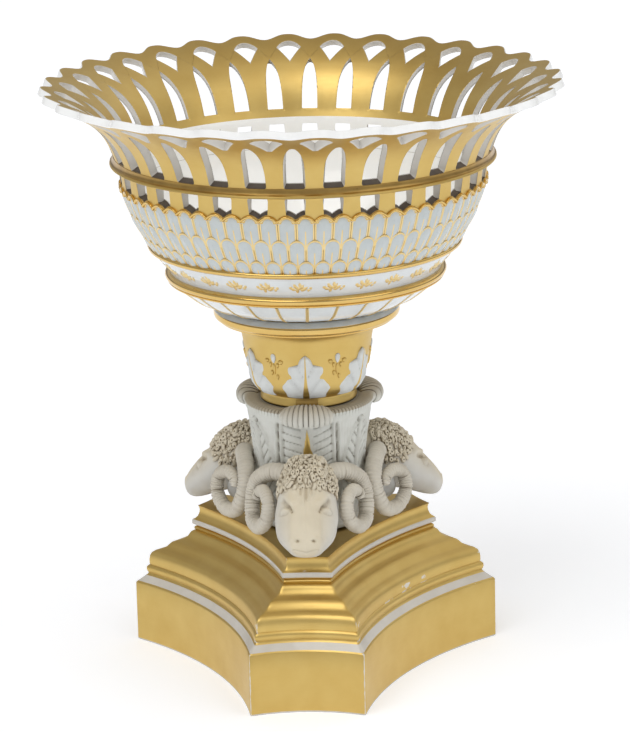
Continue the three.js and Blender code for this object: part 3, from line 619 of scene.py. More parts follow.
# Radius and height of each edge, from the foot up and round, with the finish of the face that follows it:
# 0 glaze, 1 burnished gold, 2 the brown joints under the scales, 3 the glaze inside.
bowl_profile = [
    (49.6, 212.1, 0), (50.8, 212.5, 0), (53.2, 213.1, 0), (57.0, 214.3, 0), (60.8, 216.0, 0),
    (64.9, 218.2, 0), (68.4, 220.7, 0), (72.0, 223.6, 0), (75.0, 226.0, 0), (76.8, 227.2, 1),
    (78.0, 227.2, 1), (78.5, 227.5, 1), (78.5, 228.0, 1), (78.1, 228.3, 1), (78.9, 228.7, 1),
    (79.5, 229.4, 1), (79.9, 230.4, 1), (79.8, 231.3, 1), (79.3, 232.1, 1), (78.6, 232.6, 1),
    (77.8, 232.9, 1), (77.0, 233.0, 0), (77.0, 233.6, 0), (77.5, 234.7, 0), (78.6, 236.2, 0),
    (80.6, 238.4, 0), (82.7, 240.9, 0), (84.6, 243.5, 0), (85.8, 245.3, 1), (86.4, 245.5, 1),
    (87.8, 245.9, 1), (88.9, 246.6, 1), (89.3, 247.6, 1), (89.0, 248.5, 1), (88.2, 249.1, 1),
    (87.4, 249.4, 2), (88.2, 250.4, 2), (91.9, 256.0, 2), (95.6, 263.0, 2), (98.6, 270.0, 2),
    (100.6, 276.0, 2), (101.8, 281.0, 2), (101.9, 281.6, 3), (98.33, 281.6, 3), (97.6, 276.0, 3),
    (95.6, 269.0, 3), (92.3, 262.0, 3), (88.0, 255.0, 3), (82.6, 248.0, 3), (76.0, 240.8, 3),
    (68.5, 233.6, 3), (60.0, 227.3, 3), (50.0, 222.5, 3), (38.0, 219.6, 3), (25.5, 218.5, 3),
    (13.8, 218.3, 3), (rod_hole, 218.3, 0), (rod_hole, 212.1, 0), (30.0, 212.1, 0), (49.6, 212.1, 0),
]
# The clear glaze over white paste has fired smooth, so it shines wet and cool. Dirt has lodged in the joints
# between the scales, where the glaze is brown and dull.
white_glaze = clear_glaze("clear_glaze_on_white_porcelain", "#E6EAEB", "#D9DDDE")
joint_glaze = clear_glaze("browned_glaze_between_the_scales", "#957D58", "#7E6848", 4, roughness=0.45)
bowl = turned("basket_bowl", bowl_profile, 192, (white_glaze, burnished_gilding, joint_glaze, glaze_painted_bright_inside))
smooth(bowl, 42)
stands_for(bowl, "glazed_porcelain", "basket")

# Ledge under the windows. A roll of clay is luted on while the wall is leather-hard and pressed up into two
# lobes to each arch, so the lobes stand under the scallops of the windows. It is burnished all round.
ledge_radius, ledge_height, ledge_scallop = 102.7, 281.0, 2.7
ledge_thick, ledge_tall = 1.4, 1.05
ledge_columns, ledge_rows = 16 * arches, 12


def on_ledge(column, row):
    """Where a point of the flat sheet lies on the ledge. Rows run round the roll."""
    angle, round_it = turn * column / ledge_columns, turn * row / ledge_rows
    z = ledge_height + ledge_scallop * abs(math.sin(arches * angle)) ** 0.8 + ledge_tall * math.sin(round_it)
    return on_circle(ledge_radius + ledge_thick * math.cos(round_it), angle, z)


ledge = bent_sheet("scalloped_ledge", ledge_columns, ledge_rows, on_ledge, is_round=True)
coated(ledge, burnished_gilding)
closed_up(ledge)
smooth(ledge, 60)
stands_for(ledge, "gilded_porcelain", "basket")

# Sill ring between the low windows and the lancets. It is turned in one with the wall: a thin matt-gilt fillet
# with a hollow slope over it, whose gold is browned as painted shade, and burnished edges above and below.
# Radius, height and finish: 0 burnished gold, 1 gold browned as painted shade, 2 matt gold.
sill_profile = [
    (104.0, 294.5, 0), (106.6, 294.6, 0), (108.1, 294.8, 2), (108.75, 295.2, 2), (108.6, 296.0, 2),
    (108.2, 296.5, 1), (107.7, 296.7, 1), (107.35, 297.3, 1), (107.1, 298.1, 1), (106.9, 299.0, 1),
    (106.8, 299.9, 1), (106.3, 300.05, 0), (104.6, 299.9, 0), (104.0, 294.5, 0),
]
# Gilding browned as painted shade and dark reflection, where the gold lies in shadow, and its gloss is patchy.
gilding_painted_in_shade = gilding("gilding_browned_as_painted_shade", "#C9A660", "#957542", 0.3, 9)
sill = turned("sill_ring", sill_profile, 192, (burnished_gilding, gilding_painted_in_shade, matt_gilding))
smooth(sill, 40)
stands_for(sill, "gilded_porcelain", "basket")

# Scales. Three rows of round-headed tongues are cut in low relief, each with a gilt border and one gilt vein.
# A lower row covers the feet of the row above it.
scale_line = profile_line([entry[:2] for entry in bowl_profile[35:43]])
scale_half, head_tall = 5.8, 5.1
side_steps, head_steps = 5, 10
scale_columns = 2 * side_steps + head_steps
# How far each line of a scale lies inside its outline, and how high it stands.
scale_lines = [(0.0, -0.4), (0.0, 0.62), (0.2, 0.8), (1.05, 0.8), (1.3, 0.6), (2.2, 0.95), (3.7, 1.2)]
vein_line, middle_line = len(scale_lines), len(scale_lines) + 1
vein_lift, middle_lift, border_lines = 1.32, 1.45, 3
# Height of the head's top, length of the straight part, share of half an arch that the row is moved on,
# and how deep its foot lies under the next row.
scale_rows = ((283.9, 15.5, 0.5, 0.8), (270.2, 15.0, 0.0, 0.8), (257.2, 4.5, 0.5, 0.1))
# The glaze pools in the pressed tongues and looks greyer there. The lines are drawn in thin gold with a pen
# and left unpolished, so they are paler and softer than the rings.
pooled_glaze = clear_glaze("clear_glaze_pooled_in_the_scales", "#CED4D4", "#BFC6C6", 6)
pencilled_gold = gilding("pencilled_gold_lines", "#F0DBA6", "#E3C88A", 0.48, 6)


def run_up(line, z):
    """Length along a profile at a height."""
    for first, second in zip(line, line[1:]):
        if first[2] <= z <= second[2]:
            return first[0] + (second[0] - first[0]) * (z - first[2]) / (second[2] - first[2])
    return line[-1][0] + z - line[-1][2]


def scale(head_top, length, moved, foot_depth):
    """One scale: lines that follow its outline inwards, up one side, round the head and down the other."""
    middle = run_up(scale_line, head_top) - head_tall

    def on_scale(column, row):
        up_side = min(column, scale_columns - column)
        round_head = math.pi * min(1.0, max(0.0, (column - side_steps) / head_steps))
        foot_share = max(0.0, 1 - up_side / side_steps)
        if row < vein_line:
            inset, lift = scale_lines[row]
        else:
            inset = scale_half - (0.3 + 0.35 * foot_share if row == vein_line else 0.0)
            lift = vein_lift if row == vein_line else middle_lift
        x = (scale_half - inset) * math.cos(round_head)
        y = max(0.0, head_tall - inset) * math.sin(round_head) - length * foot_share
        sunk = foot_depth * (1 - (y + length) / (length + head_tall))
        return bent_round(scale_line, Vector((x + moved * half_arch, y + middle, lift - sunk)) * mm, 2)

    piece = bent_sheet("scale", scale_columns, middle_line, on_scale)
    coated(piece, pooled_glaze, pencilled_gold)
    for i, face in enumerate(piece.data.polygons):
        column, row = i % scale_columns, i // scale_columns
        is_vein = row == vein_line and min(column, scale_columns - 1 - column) < side_steps * 0.75
        face.material_index = 1 if row < border_lines or is_vein else 0
    return piece


scales = copied_round(joined([scale(*scale_row) for scale_row in scale_rows]), 2 * arches)
scales.name = "gilt_edged_scales"
closed_up(scales, 0.005 * mm)
smooth(scales, 42)
stands_for(scales, "glazed_porcelain", "basket")

# Rays on the underside. 28 ribs of gold run in from the torus to the foot. The gilder steps them out with
# dividers and draws each in one thick stroke, so it stands a little proud of the glaze.
underside_line = profile_line([entry[:2] for entry in bowl_profile[1:10]])
strokes_round, first_ray = 28, math.radians(2.8)
ray_half, ray_rise, ray_steps = 0.9, (0.05, 0.3, 0.42, 0.3, 0.05), 12


def on_ray(column, row):
    """Where a point of the flat sheet lies on a ray. Rows run out from the foot to the torus."""
    run = underside_line[-1][0] * (0.03 + 0.94 * row / ray_steps)
    radius = 51 + 25 * row / ray_steps
    x = first_ray * flat_radius + ray_half * flat_radius / radius * (column / 4 * 2 - 1)
    return bent_round(underside_line, Vector((x, run, ray_rise[column])) * mm, 2)


ray_strip = bent_sheet("gilt_rays", 4, ray_steps, on_ray)
coated(ray_strip, pencilled_gold)
rays = copied_round(ray_strip, strokes_round)
smooth(rays, 60)
stands_for(rays, "gilded_porcelain", "basket")

# Sprigs on the frieze, as many as there are rays. The gilder paints them over the fired glaze with a fine
# brush: clusters of leaves, with dots strung between them.
frieze_line = profile_line([entry[:2] for entry in bowl_profile[23:29]])
# Middle, turn in degrees and length of each stroke of one sprig, in mm.
strokes = [
    (0.0, 5.9, 20, 3.6), (2.2, 7.1, 60, 3.2), (-2.3, 6.8, -35, 3.2), (3.0, 4.4, 5, 3.0), (-1.5, 3.8, 80, 2.8),
    (0.6, 9.0, 100, 2.4), (4.9, 5.9, 35, 2.8), (-4.7, 4.9, -20, 2.8), (7.4, 4.1, 0, 1.7), (-6.9, 6.5, 50, 1.7),
    (9.2, 6.0, 40, 1.5), (-3.6, 8.6, 30, 1.5),
]
# Half width of the brush's mark from its start to its end.
stroke_halves = (0.3, 0.75, 0.9, 0.85, 0.7, 0.45, 0.2)


def painted(x, y, tilt, length):
    """One stroke of the brush: a narrow leaf that stands a little proud and ends in a point."""
    def on_stroke(column, row):
        long, across = length * 0.75 * (row / 3 - 1), (1 - column / 2) * (stroke_halves[row] * 1.55)
        spot = Matrix.Rotation(math.radians(tilt), 2) @ Vector((long, across)) + Vector((x, y))
        return bent_round(frieze_line, Vector((spot.x, spot.y, 0.22 if column in (1, 2, 3) else 0.02)) * mm, 2)

    piece = bent_sheet("stroke", 4, 6, on_stroke)
    coated(piece, pencilled_gold)
    return piece


sprigs = copied_round(joined([painted(*stroke) for stroke in strokes]), strokes_round)
sprigs.name = "frieze_sprigs"
smooth(sprigs, 70)
stands_for(sprigs, "gilded_porcelain", "basket")

# Cup. It is thrown and turned apart from the basket, which stands on it. Its torus is burnished and its
# body is gilded matt.
# Radius, height and finish: 0 matt gold, 1 burnished gold, 2 gold browned as painted shade, 3 the joint, greyed
# as painted shade.
cup_profile = [
    (24.0, 155.9, 0), (26.9, 156.0, 0), (27.6, 156.7, 0), (27.4, 158.1, 0), (27.0, 159.6, 0),
    (26.5, 160.8, 0), (26.6, 161.3, 0), (28.2, 162.4, 0), (30.2, 164.4, 0), (31.6, 166.6, 0),
    (32.9, 169.8, 0), (33.9, 173.4, 0), (34.8, 178.0, 0), (35.6, 182.6, 0), (36.2, 186.8, 0),
    (36.8, 190.6, 0), (37.2, 193.0, 0), (37.7, 195.4, 0), (38.3, 197.3, 0), (39.7, 199.2, 0),
    (42.0, 200.8, 0), (45.6, 202.0, 0), (49.9, 202.9, 1), (49.9, 203.4, 1), (50.7, 203.8, 1),
    (51.8, 204.4, 1), (52.6, 205.2, 1), (53.0, 206.2, 1), (53.05, 207.6, 1), (52.8, 208.9, 3),
    (52.1, 210.3, 3), (51.1, 211.3, 3), (50.0, 211.8, 0), (42.8, 211.8, 0), (32.8, 194.7, 0),
    (25.6, 166.6, 0), (rod_hole, 166.6, 0), (rod_hole, 155.9, 0), (24.0, 155.9, 0),
]
# The glaze beside the joint was wiped thin so that it wouldn't stick in the kiln. It is painted grey, as the
# shade of the basket that stands on it.
joint_glaze_in_painted_shade = clear_glaze("glaze_greyed_by_painted_shade_at_the_joint", "#BFC0BC", "#A9AAA6", 6)
cup_finishes = (matt_gilding, burnished_gilding, gilding_painted_in_shade, joint_glaze_in_painted_shade)
cup = turned("gilded_cup", cup_profile, 160, cup_finishes)
# Behind each curled tip of the capital the foot of the cup is painted brown, as the curl's shadow.
for face in cup.data.polygons:
    angle = math.atan2(face.center.x, -face.center.y)
    off_curl = abs(angle - round(angle / (turn / 3)) * turn / 3)
    if 156.2 < face.center.z / mm < 161 and off_curl < math.radians(13):
        face.material_index = 2
smooth(cup, 40)
stands_for(cup, "gilded_porcelain", "cup")

# Six acanthus leaves on the cup, left in white biscuit, pressed in a mould and stuck on before the firing.
# Each has a gilt midrib. Between them stand small bell sprigs.


def between_rows(rows, at):
    """Reads a list of rows at a place between them. The first number of a row is its place."""
    at = min(max(at, rows[0][0]), rows[-1][0])
    i = next(n for n in range(len(rows) - 1) if at <= rows[n + 1][0])
    share = (at - rows[i][0]) / (rows[i + 1][0] - rows[i][0])
    around = zip(rows[max(0, i - 1)][1:], rows[i][1:], rows[i + 1][1:], rows[min(len(rows) - 1, i + 2)][1:])
    return [b + share / 2 * (c - a + share * (2 * a - 5 * b + 4 * c - d + share * (3 * (b - c) + d - a)))
            for a, b, c, d in around]


def dent(x, y, middle, reach):
    """How near a spot lies to a middle: 1 on it, falling softly to 0."""
    return math.exp(-((x - middle[0]) ** 2 + (y - middle[1]) ** 2) / reach ** 2)


def crease(x, y, start, end, reach):
    """How near a spot lies to a straight line between two spots: 1 on it, falling softly to 0."""
    line = Vector(end) - Vector(start)
    share = min(1.0, max(0.0, (Vector((x, y)) - Vector(start)).dot(line) / line.length_squared))
    return dent(x, y, Vector(start) + line * share, reach)


def biscuit(name, body, hollow, reach_mm, handled=None):
    """Unglazed porcelain, pressed in a mould and touched up: dry and close, darkened in its hollows by painted
    shade and old dirt.
    Handled is its colour where the value of that name says that fingers have been."""
    material, shader, place = new_finish(name, Roughness=0.62)
    # The real grain is finer than 0.1 mm. It is drawn at 0.9 mm so that it shows.
    grain = add_node(material, "ShaderNodeTexNoise", values={"Scale": 1000 / 0.9, "Detail": 2.0},
                     links={"Vector": place})
    stain = add_node(material, "ShaderNodeTexNoise", values={"Scale": 1000 / 12, "Detail": 5.0},
                     links={"Vector": place})
    # Hollows of a few millimetres are darkened by an occlusion mask: painted shade, with the dirt that stays
    # where no brush reaches.
    shade_and_dirt_occlusion = add_node(material, "ShaderNodeAmbientOcclusion", {"samples": 6}, {"Distance": reach_mm * mm})
    unshaded_and_clean = add_node(material, "ShaderNodeMapRange", values={"From Min": 0.3, "From Max": 0.86},
                     links={"Value": shade_and_dirt_occlusion.outputs["AO"]})
    worn = add_node(material, "ShaderNodeMath", {"operation": "MULTIPLY_ADD"}, {1: 0.5, 2: 0.72},
                    {0: stain.outputs["Fac"]})
    share = add_node(material, "ShaderNodeMath", {"operation": "MULTIPLY", "use_clamp": True},
                     links={0: unshaded_and_clean.outputs["Result"], 1: worn.outputs["Value"]})
    tone = add_node(material, "ShaderNodeMix", {"data_type": "RGBA"}, {6: linear(hollow), 7: linear(body)},
                    {0: share.outputs["Value"]})
    if handled:
        touched = add_node(material, "ShaderNodeAttribute", {"attribute_name": "handled"})
        skin = add_node(material, "ShaderNodeMix", {"data_type": "RGBA"}, {6: linear(body), 7: linear(handled)},
                        {0: touched.outputs["Fac"]})
        feed(material, tone, B=skin.outputs[2])
    bump = add_node(material, "ShaderNodeBump", values={"Strength": 0.2, "Distance": 0.00005},
                    links={"Height": grain.outputs["Fac"]})
    feed(material, shader, Base_Color=tone.outputs[2], Normal=bump.outputs["Normal"])
    return material


# The leaves were dusted often, so their biscuit is the whitest. Painted shade and dirt darken only the hollows
# between the lobes.
white_biscuit = biscuit("white_biscuit_of_the_leaves", "#DDE0DE", "#7D7462", 2.5)
cup_side = cup_profile[6:23]
leaf_foot, leaf_tip = 162.2, 189.0
# Height, half width of the leaf and half width of its gilt midrib.
leaf_rows = [
    (162.2, 11.0, 1.9), (164.6, 11.4, 1.8), (166.6, 12.6, 1.6), (168.6, 13.8, 1.3), (170.0, 13.4, 1.1),
    (171.8, 11.9, 0.9), (173.8, 10.6, 0.75), (175.7, 8.9, 0.62), (176.6, 9.2, 0.55), (178.4, 9.9, 0.5),
    (180.4, 10.1, 0.42), (181.9, 9.4, 0.38), (182.8, 6.4, 0.35), (183.6, 4.4, 0.33), (185.0, 3.7, 0.3),
    (186.6, 2.9, 0.27), (188.2, 1.5, 0.2), (189.0, 0.05, 0.02),
]
leaf_half_columns, leaf_lines = 9, 44


def radius_at(profile, z):
    """Outer radius of a turned profile at a height. The profile is listed upwards."""
    for first, second in zip(profile, profile[1:]):
        if first[1] <= z <= second[1]:
            return first[0] + (second[0] - first[0]) * (z - first[1]) / (second[1] - first[1])
    return profile[-1][0]


def on_leaf(column, row):
    """Where a point of the flat sheet lies on a leaf of the cup. The middle columns are its midrib."""
    z = leaf_foot + (leaf_tip - leaf_foot) * row / leaf_lines
    half, rib = between_rows(leaf_rows, z)
    half, rib = max(half, 0.02), max(min(rib, half * 0.4), 0.01)
    step = column - leaf_half_columns
    outwards = abs(step)
    x = rib * min(1, outwards) + (half - rib) * max(0, outwards - 1) / (leaf_half_columns - 1)
    share = x / half
    lift = 1.5 * (1 - share ** 5) * min(1.0, (leaf_tip - z) / 2 + 0.2) - 0.1
    # The lobes are parted by creases that run from the notches down to the midrib.
    lift -= 0.95 * crease(x, z, (9.2, 176.0), (1.6, 165.0), 0.8) * min(1.0, x / 2)
    lift -= 0.8 * crease(x, z, (4.6, 183.4), (0.9, 175.0), 0.6) * min(1.0, x / 1.5)
    lift -= 0.4 * crease(x, z, (12.5, 169.5), (3.0, 162.5), 0.6)
    lift -= 0.3 * crease(x, z, (8.5, 180.4), (2.0, 174.0), 0.5)
    lift += 0.45 * dent(x, z, (0, z), rib * 1.3 + 0.1)
    radius = radius_at(cup_side, z) + lift
    angle = math.asin(min(0.95, x / radius)) * (1 if step > 0 else -1)
    return on_circle(radius, angle, z)


leaf = bent_sheet("cup_leaf", 2 * leaf_half_columns, leaf_lines, on_leaf)
coated(leaf, white_biscuit, matt_gilding)
for i, face in enumerate(leaf.data.polygons):
    face.material_index = 1 if i % (2 * leaf_half_columns) in (leaf_half_columns - 1, leaf_half_columns) else 0
leaves = copied_round(leaf, 6)
smooth(leaves, 50)
stands_for(leaves, "biscuit_porcelain", "cup")
# Middle, half width and half height of each drop of a bell sprig: the bell, two buds, the stalk and its
# small leaves.
drops = [
    (0.0, 186.3, 1.5, 2.9), (-4.4, 184.7, 1.35, 1.3), (4.4, 184.3, 1.45, 1.4), (-2.3, 182.4, 0.9, 1.6),
    (2.3, 182.2, 0.9, 1.6), (0.0, 179.9, 0.8, 3.4), (-1.8, 177.6, 0.9, 1.6), (1.7, 175.2, 0.9, 1.6),
]
cup_waist = 35.5
bells = []
for x, z, wide, tall in drops:
    take_up()
    bpy.ops.mesh.primitive_uv_sphere_add(segments=10, ring_count=8, radius=1)
    bell = bpy.context.object
    for point in bell.data.vertices:
        waist = 1 + 0.3 * point.co.z
        height = z + point.co.z * tall
        angle = turn / 12 + (x + point.co.x * wide * waist) / cup_waist
        radius = radius_at(cup_side, height) - 0.95 * point.co.y * min(1.0, wide)
        point.co = on_circle(radius, angle, height)
    coated(bell, white_biscuit if tall > 2 and z > 185 else matt_gilding)
    bells.append(bell)
bell_sprigs = copied_round(joined(bells), 6)
bell_sprigs.name = "bell_sprigs"
smooth(bell_sprigs, 80)
stands_for(bell_sprigs, "biscuit_porcelain", "cup")

# Capital. A biscuit shaft, pressed in a mould and tooled: a veined panel over each ram, faint tall leaves
# between the panels, and a collar with a recess that takes the cup's foot.
# Its biscuit is greyer than the leaves', and the tooled lines are darkened with painted shade and with dirt
# where the brush never reached.
capital_biscuit = biscuit("grey_white_biscuit_of_the_capital", "#D6D7D0", "#665B48", 2.8)
shaft_profile = [(26.6, 82.6), (28.2, 83.0), (28.5, 84.4), (28.2, 85.6), (27.2, 87.2)]
for i in range(1, 117):
    share = i / 116
    swell = 0.12 * min(1.0, share * 4) + 0.88 * share ** 1.55
    shaft_profile.append((27 + 7.6 * swell, 87.2 + 60.6 * share))
collar_profile = [
    (35.2, 149.0), (35.9, 150.5), (36.5, 152.0), (36.9, 153.3), (37.0, 154.5), (36.6, 155.5), (35.8, 156.0),
    (34.7, 156.2), (33.4, 156.2), (32.0, 156.1), (30.4, 155.9), (28.8, 155.7), (28.0, 155.5), (24.0, 155.5),
    (21.0, 155.5), (21.0, 82.6), (24.0, 82.6), (26.6, 82.6),
]
capital_profile = shaft_profile + collar_profile
capital_columns = 384
panel_half, vein_pitch, leaf_vein_pitch = 15.6, 4.8, 6.4
tooled_foot, collar_foot, recess_radius = 90, 151, 28.5


def capital_relief(x, z, middle_leaf_x):
    """How far the carving stands out. Both distances run sideways: x from the middle of the panel, and the
    other from the middle between two panels."""
    if z < tooled_foot or z > collar_foot:
        return 0.0
    fade = min(1.0, (z - tooled_foot) / 8, (collar_foot - z) / 3)
    outwards = abs(x)
    # A bead runs down each side of the panel, with a groove inside it.
    relief = 0.9 * dent(outwards, z, (panel_half, z), 0.8)
    relief -= 0.45 * dent(outwards, z, (panel_half - 1.5, z), 0.6)
    if 3.4 < outwards < panel_half - 1.2:
        rise = z - (0.42 if x > 0 else 0.25) * outwards
        off_vein = abs(rise / vein_pitch - round(rise / vein_pitch)) * vein_pitch
        relief -= 0.8 * math.exp(-(off_vein / 0.48) ** 2)
    if outwards < panel_half:
        relief += 0.55 * (1 - (outwards / panel_half) ** 2)
    # The tall leaf between the panels is rimmed and veined too, and its surface is a little uneven.
    off_middle = abs(middle_leaf_x)
    leaf_half = 11.5 * max(0.0, 1 - max(0.0, (z - 112) / 34) ** 2) ** 0.5 + 0.5
    edge = off_middle - leaf_half
    relief += 1.3 * math.exp(-(edge / 0.8) ** 2) + (0.5 if edge < 0 else 0.0)
    relief += 1.2 * dent(off_middle, 0, (0, 0), 0.9) - 0.7 * dent(off_middle, 0, (1.9, 0), 0.6)
    if edge < -1 and off_middle > 2:
        rise = z - 1.1 * off_middle
        off_vein = abs(rise / leaf_vein_pitch - round(rise / leaf_vein_pitch)) * leaf_vein_pitch
        relief -= 0.9 * math.exp(-(off_vein / 0.6) ** 2)
    # Two upright folds stand between each panel and the leaf beside it.
    relief += 0.9 * dent(outwards, 0, (panel_half + 3.4, 0), 0.8)
    relief -= 0.9 * dent(outwards, 0, (panel_half + 1.8, 0), 0.6)
    relief += 0.22 * math.sin(middle_leaf_x * 1.9) * math.sin(z * 0.35 + middle_leaf_x)
    return relief * fade


def on_capital(column, row):
    """Where a point of the flat sheet lies on the capital, with the carving of the nearest panel."""
    radius, z = capital_profile[row]
    angle = turn * column / capital_columns
    nearest = angle - round(angle / (turn / 3)) * turn / 3
    between = angle - turn / 6 - round((angle - turn / 6) / (turn / 3)) * turn / 3
    if row < len(shaft_profile):
        radius += capital_relief(nearest * radius, z, between * radius)
    elif collar_foot < z and radius > recess_radius:
        # The collar is fluted from its lip towards the recess.
        fade = min(1.0, (radius - recess_radius) / 3, (z - collar_foot) / 2)
        flute = 1.1 * math.cos(angle * 48) ** 4 * fade
        facing = math.atan2(z - collar_foot, radius - 34)
        radius, z = radius - flute * math.cos(facing), z - flute * math.sin(facing)
    return on_circle(radius, angle, z)


# The collar lies level under the cup, so dust and wax have soaked into its biscuit and stained it brown.
collar_biscuit = biscuit("stained_biscuit_of_the_collar", "#B3AA97", "#473C2C", 5.0)
capital_finishes = [1 if radius > 28.4 and z > 154.4 else 0 for radius, z in capital_profile[:-1]]
capital = bent_sheet("leaf_capital_shaft", capital_columns, len(capital_profile) - 1, on_capital, True,
                     capital_finishes)
coated(capital, capital_biscuit, collar_biscuit)
closed_up(capital, 0.001 * mm)
smooth(capital, 50)
stands_for(capital, "biscuit_porcelain", "leaf_capital")

# Gilt wedges. A slim rib is modelled up the middle of each veined panel and runs to a point under the collar.
# It is gilded matt over the biscuit.
wedge_foot, wedge_tall, wedge_point, wedge_rows = 112, 33.2, 145.4, 20
wedge_rise, widest_half = (0.2, 1.0, 1.15, 1.0, 0.2), 4.4


def on_wedge(column, row):
    """Where a point of the flat sheet lies on a wedge, from its foot to its point."""
    z = wedge_foot + wedge_tall * row / wedge_rows
    radius = radius_at(shaft_profile, z) + wedge_rise[column]
    angle = (column / 2 - 1) * min(0.225 * (wedge_point - z), widest_half) / radius
    return on_circle(radius, angle, z)


wedge = bent_sheet("gilt_wedges", 4, wedge_rows, on_wedge)
coated(wedge, matt_gilding)
wedges = copied_round(wedge, 3)
smooth(wedges, 40)
stands_for(wedges, "gilded_porcelain", "leaf_capital")

# Curled leaf tips. Three roll over the collar, one above each panel. Each is modelled by hand in soft clay,
# ribbed with a wire and luted on.
curl_half, curl_columns, curl_lines = math.radians(23), 152, 40
# Share of the way over the roll, radius and height: along the middle of the roll, then along its flanks.
roll_rows = [
    (0.0, 29.6, 155.4), (0.1, 31.4, 157.4), (0.22, 35.2, 159.0), (0.34, 39.9, 159.3), (0.46, 43.2, 157.4),
    (0.57, 44.5, 154.4), (0.68, 44.0, 151.4), (0.78, 42.2, 149.4), (0.87, 39.8, 149.0), (0.95, 37.6, 150.0),
    (1.0, 36.2, 151.4),
]
lip_rows = [
    (0.0, 29.6, 155.2), (0.3, 33.4, 155.6), (0.5, 36.0, 155.0), (0.65, 36.4, 153.6), (0.8, 35.9, 151.6),
    (1.0, 34.7, 149.0),
]


def on_curl(column, row):
    """Where a point of the flat sheet lies on a curled tip. Rows run over the roll, columns across it."""
    round_it, along = (0.5 - column / curl_columns) * math.pi, row / curl_lines
    across = math.sin(round_it)
    spread = 0.8 + 0.2 * min(1.0, along * 1.6)
    share = max(0.0, 1 - abs(across) ** 2.6) ** 0.55
    rolled, plain = between_rows(roll_rows, along), between_rows(lip_rows, along)
    radius, z = (plain[k] + (rolled[k] - plain[k]) * share for k in (0, 1))
    # The ribs run over the roll and on down its flanks.
    rib = abs(math.cos(12 * round_it + 3.5 * math.sin(2 * round_it))) ** 0.5
    lift = 1.2 * rib * min(1.0, along * 8, (1 - along) * 8)
    facing, outwards = math.atan2(z - 152.5, radius - 37.5), lift * math.cos(round_it)
    radius, z = radius + outwards * math.cos(facing), z + outwards * math.sin(facing)
    angle = across * (curl_half * spread + lift / radius)
    return on_circle(radius, angle, z)


curl = bent_sheet("curled_leaf_tips", curl_columns, curl_lines, on_curl)
# Their outer ends are handled clean, and the biscuit of the rest is stained like the collar.
coated(curl, biscuit("stained_biscuit_of_the_curled_tips", "#B9B1A0", "#4E4434", 4.0, "#D6D5CC"))
marked(curl, "handled", lambda i: max(0.0, min(1.0, (i // (curl_columns + 1) / curl_lines - 0.4) / 0.3)))
curls = copied_round(curl, 3)
smooth(curls, 60)
stands_for(curls, "biscuit_porcelain", "leaf_capital")

# Rams' heads. Each is pressed in a two-part mould, touched up and luted on the shaft with slip. Its wool is
# built up of some two hundred small rings of clay, and its ears are pinched from two more lumps.
station_mm, last_station, places_round = 5.6, 17, 9
head_columns, head_lines = 108, 150
# Hands and cloths have polished the noses to a warm ivory, and the wool is darkened grey-brown in its hollows
# with painted shade and dirt.
head_biscuit = biscuit("warm_white_biscuit_of_the_heads", "#CFCEC9", "#98886E", 3.0, "#DBD1BA")
# Station, top radius, top height, bottom radius, bottom height, half width and half width of the nose bridge.
head_rows = [
    (0, 29.0, 125.5, 27.0, 100.0, 11.0, 7.0), (1, 36.0, 128.6, 29.0, 97.0, 14.0, 8.0),
    (2, 43.2, 131.6, 32.0, 95.0, 15.2, 9.0), (3, 49.4, 132.0, 36.0, 93.5, 15.6, 9.2),
    (4, 54.4, 129.2, 41.0, 93.0, 15.8, 9.4), (5, 58.6, 126.3, 46.0, 93.0, 16.2, 9.4),
    (6, 62.4, 121.3, 51.0, 92.6, 16.8, 9.2), (7, 65.8, 117.2, 55.5, 91.5, 17.4, 9.0),
    (8, 69.5, 113.2, 60.0, 90.0, 17.6, 8.8), (9, 73.2, 109.8, 64.0, 88.6, 17.2, 8.7),
    (10, 77.1, 105.3, 68.0, 87.0, 16.6, 8.7), (11, 80.2, 101.3, 71.0, 85.8, 15.3, 8.7),
    (12, 82.3, 97.6, 73.5, 84.9, 13.0, 8.6), (13, 83.6, 93.9, 75.5, 84.3, 10.4, 8.2),
    (14, 83.6, 90.4, 77.0, 84.0, 8.5, 7.0), (15, 82.4, 87.2, 78.5, 84.2, 6.0, 4.4),
    (16, 81.0, 85.4, 79.6, 84.6, 2.2, 1.5), (17, 80.4, 85.0, 80.3, 84.9, 0.02, 0.01),
]
# Place round half a section, drop from the top as a share, share of the bridge and share of the rest of
# the width.
section_rows = [
    (0, 0.0, 0.0, 0.0), (1, 0.008, 0.5, 0.0), (2, 0.05, 0.92, 0.03), (3, 0.15, 1.0, 0.25), (4, 0.27, 1.0, 0.7),
    (5, 0.45, 1.0, 1.0), (6, 0.65, 0.93, 0.93), (7, 0.86, 0.66, 0.66), (8, 0.97, 0.3, 0.3), (9, 1.0, 0.0, 0.0),
]


def head_point(column, row):
    """The head before it is tooled, as across, forward and up. Columns run round from under the jaw."""
    station = row / head_lines * last_station
    top_radius, top_z, foot_radius, foot_z, half, bridge = between_rows(head_rows, station)
    turned_by = column / head_columns * 2 * places_round - places_round
    drop, of_bridge, of_rest = between_rows(section_rows, abs(turned_by))
    x = max(0.0, of_bridge * bridge + of_rest * (half - bridge)) * (1 if turned_by > 0 else -1)
    return Vector((x, -(top_radius + (foot_radius - top_radius) * drop), top_z + (foot_z - top_z) * drop))


def outwards_at(place, column, row):
    """The direction out of a curved sheet at a column and row."""
    along = place(column, row + 0.5) - place(column, row - 0.5)
    across = place(column + 0.5, row) - place(column - 0.5, row)
    away = along.cross(across)
    return away.normalized() if away.length > 1e-9 else Vector((0, -1, 0))


eye = (12.0, 46.3)
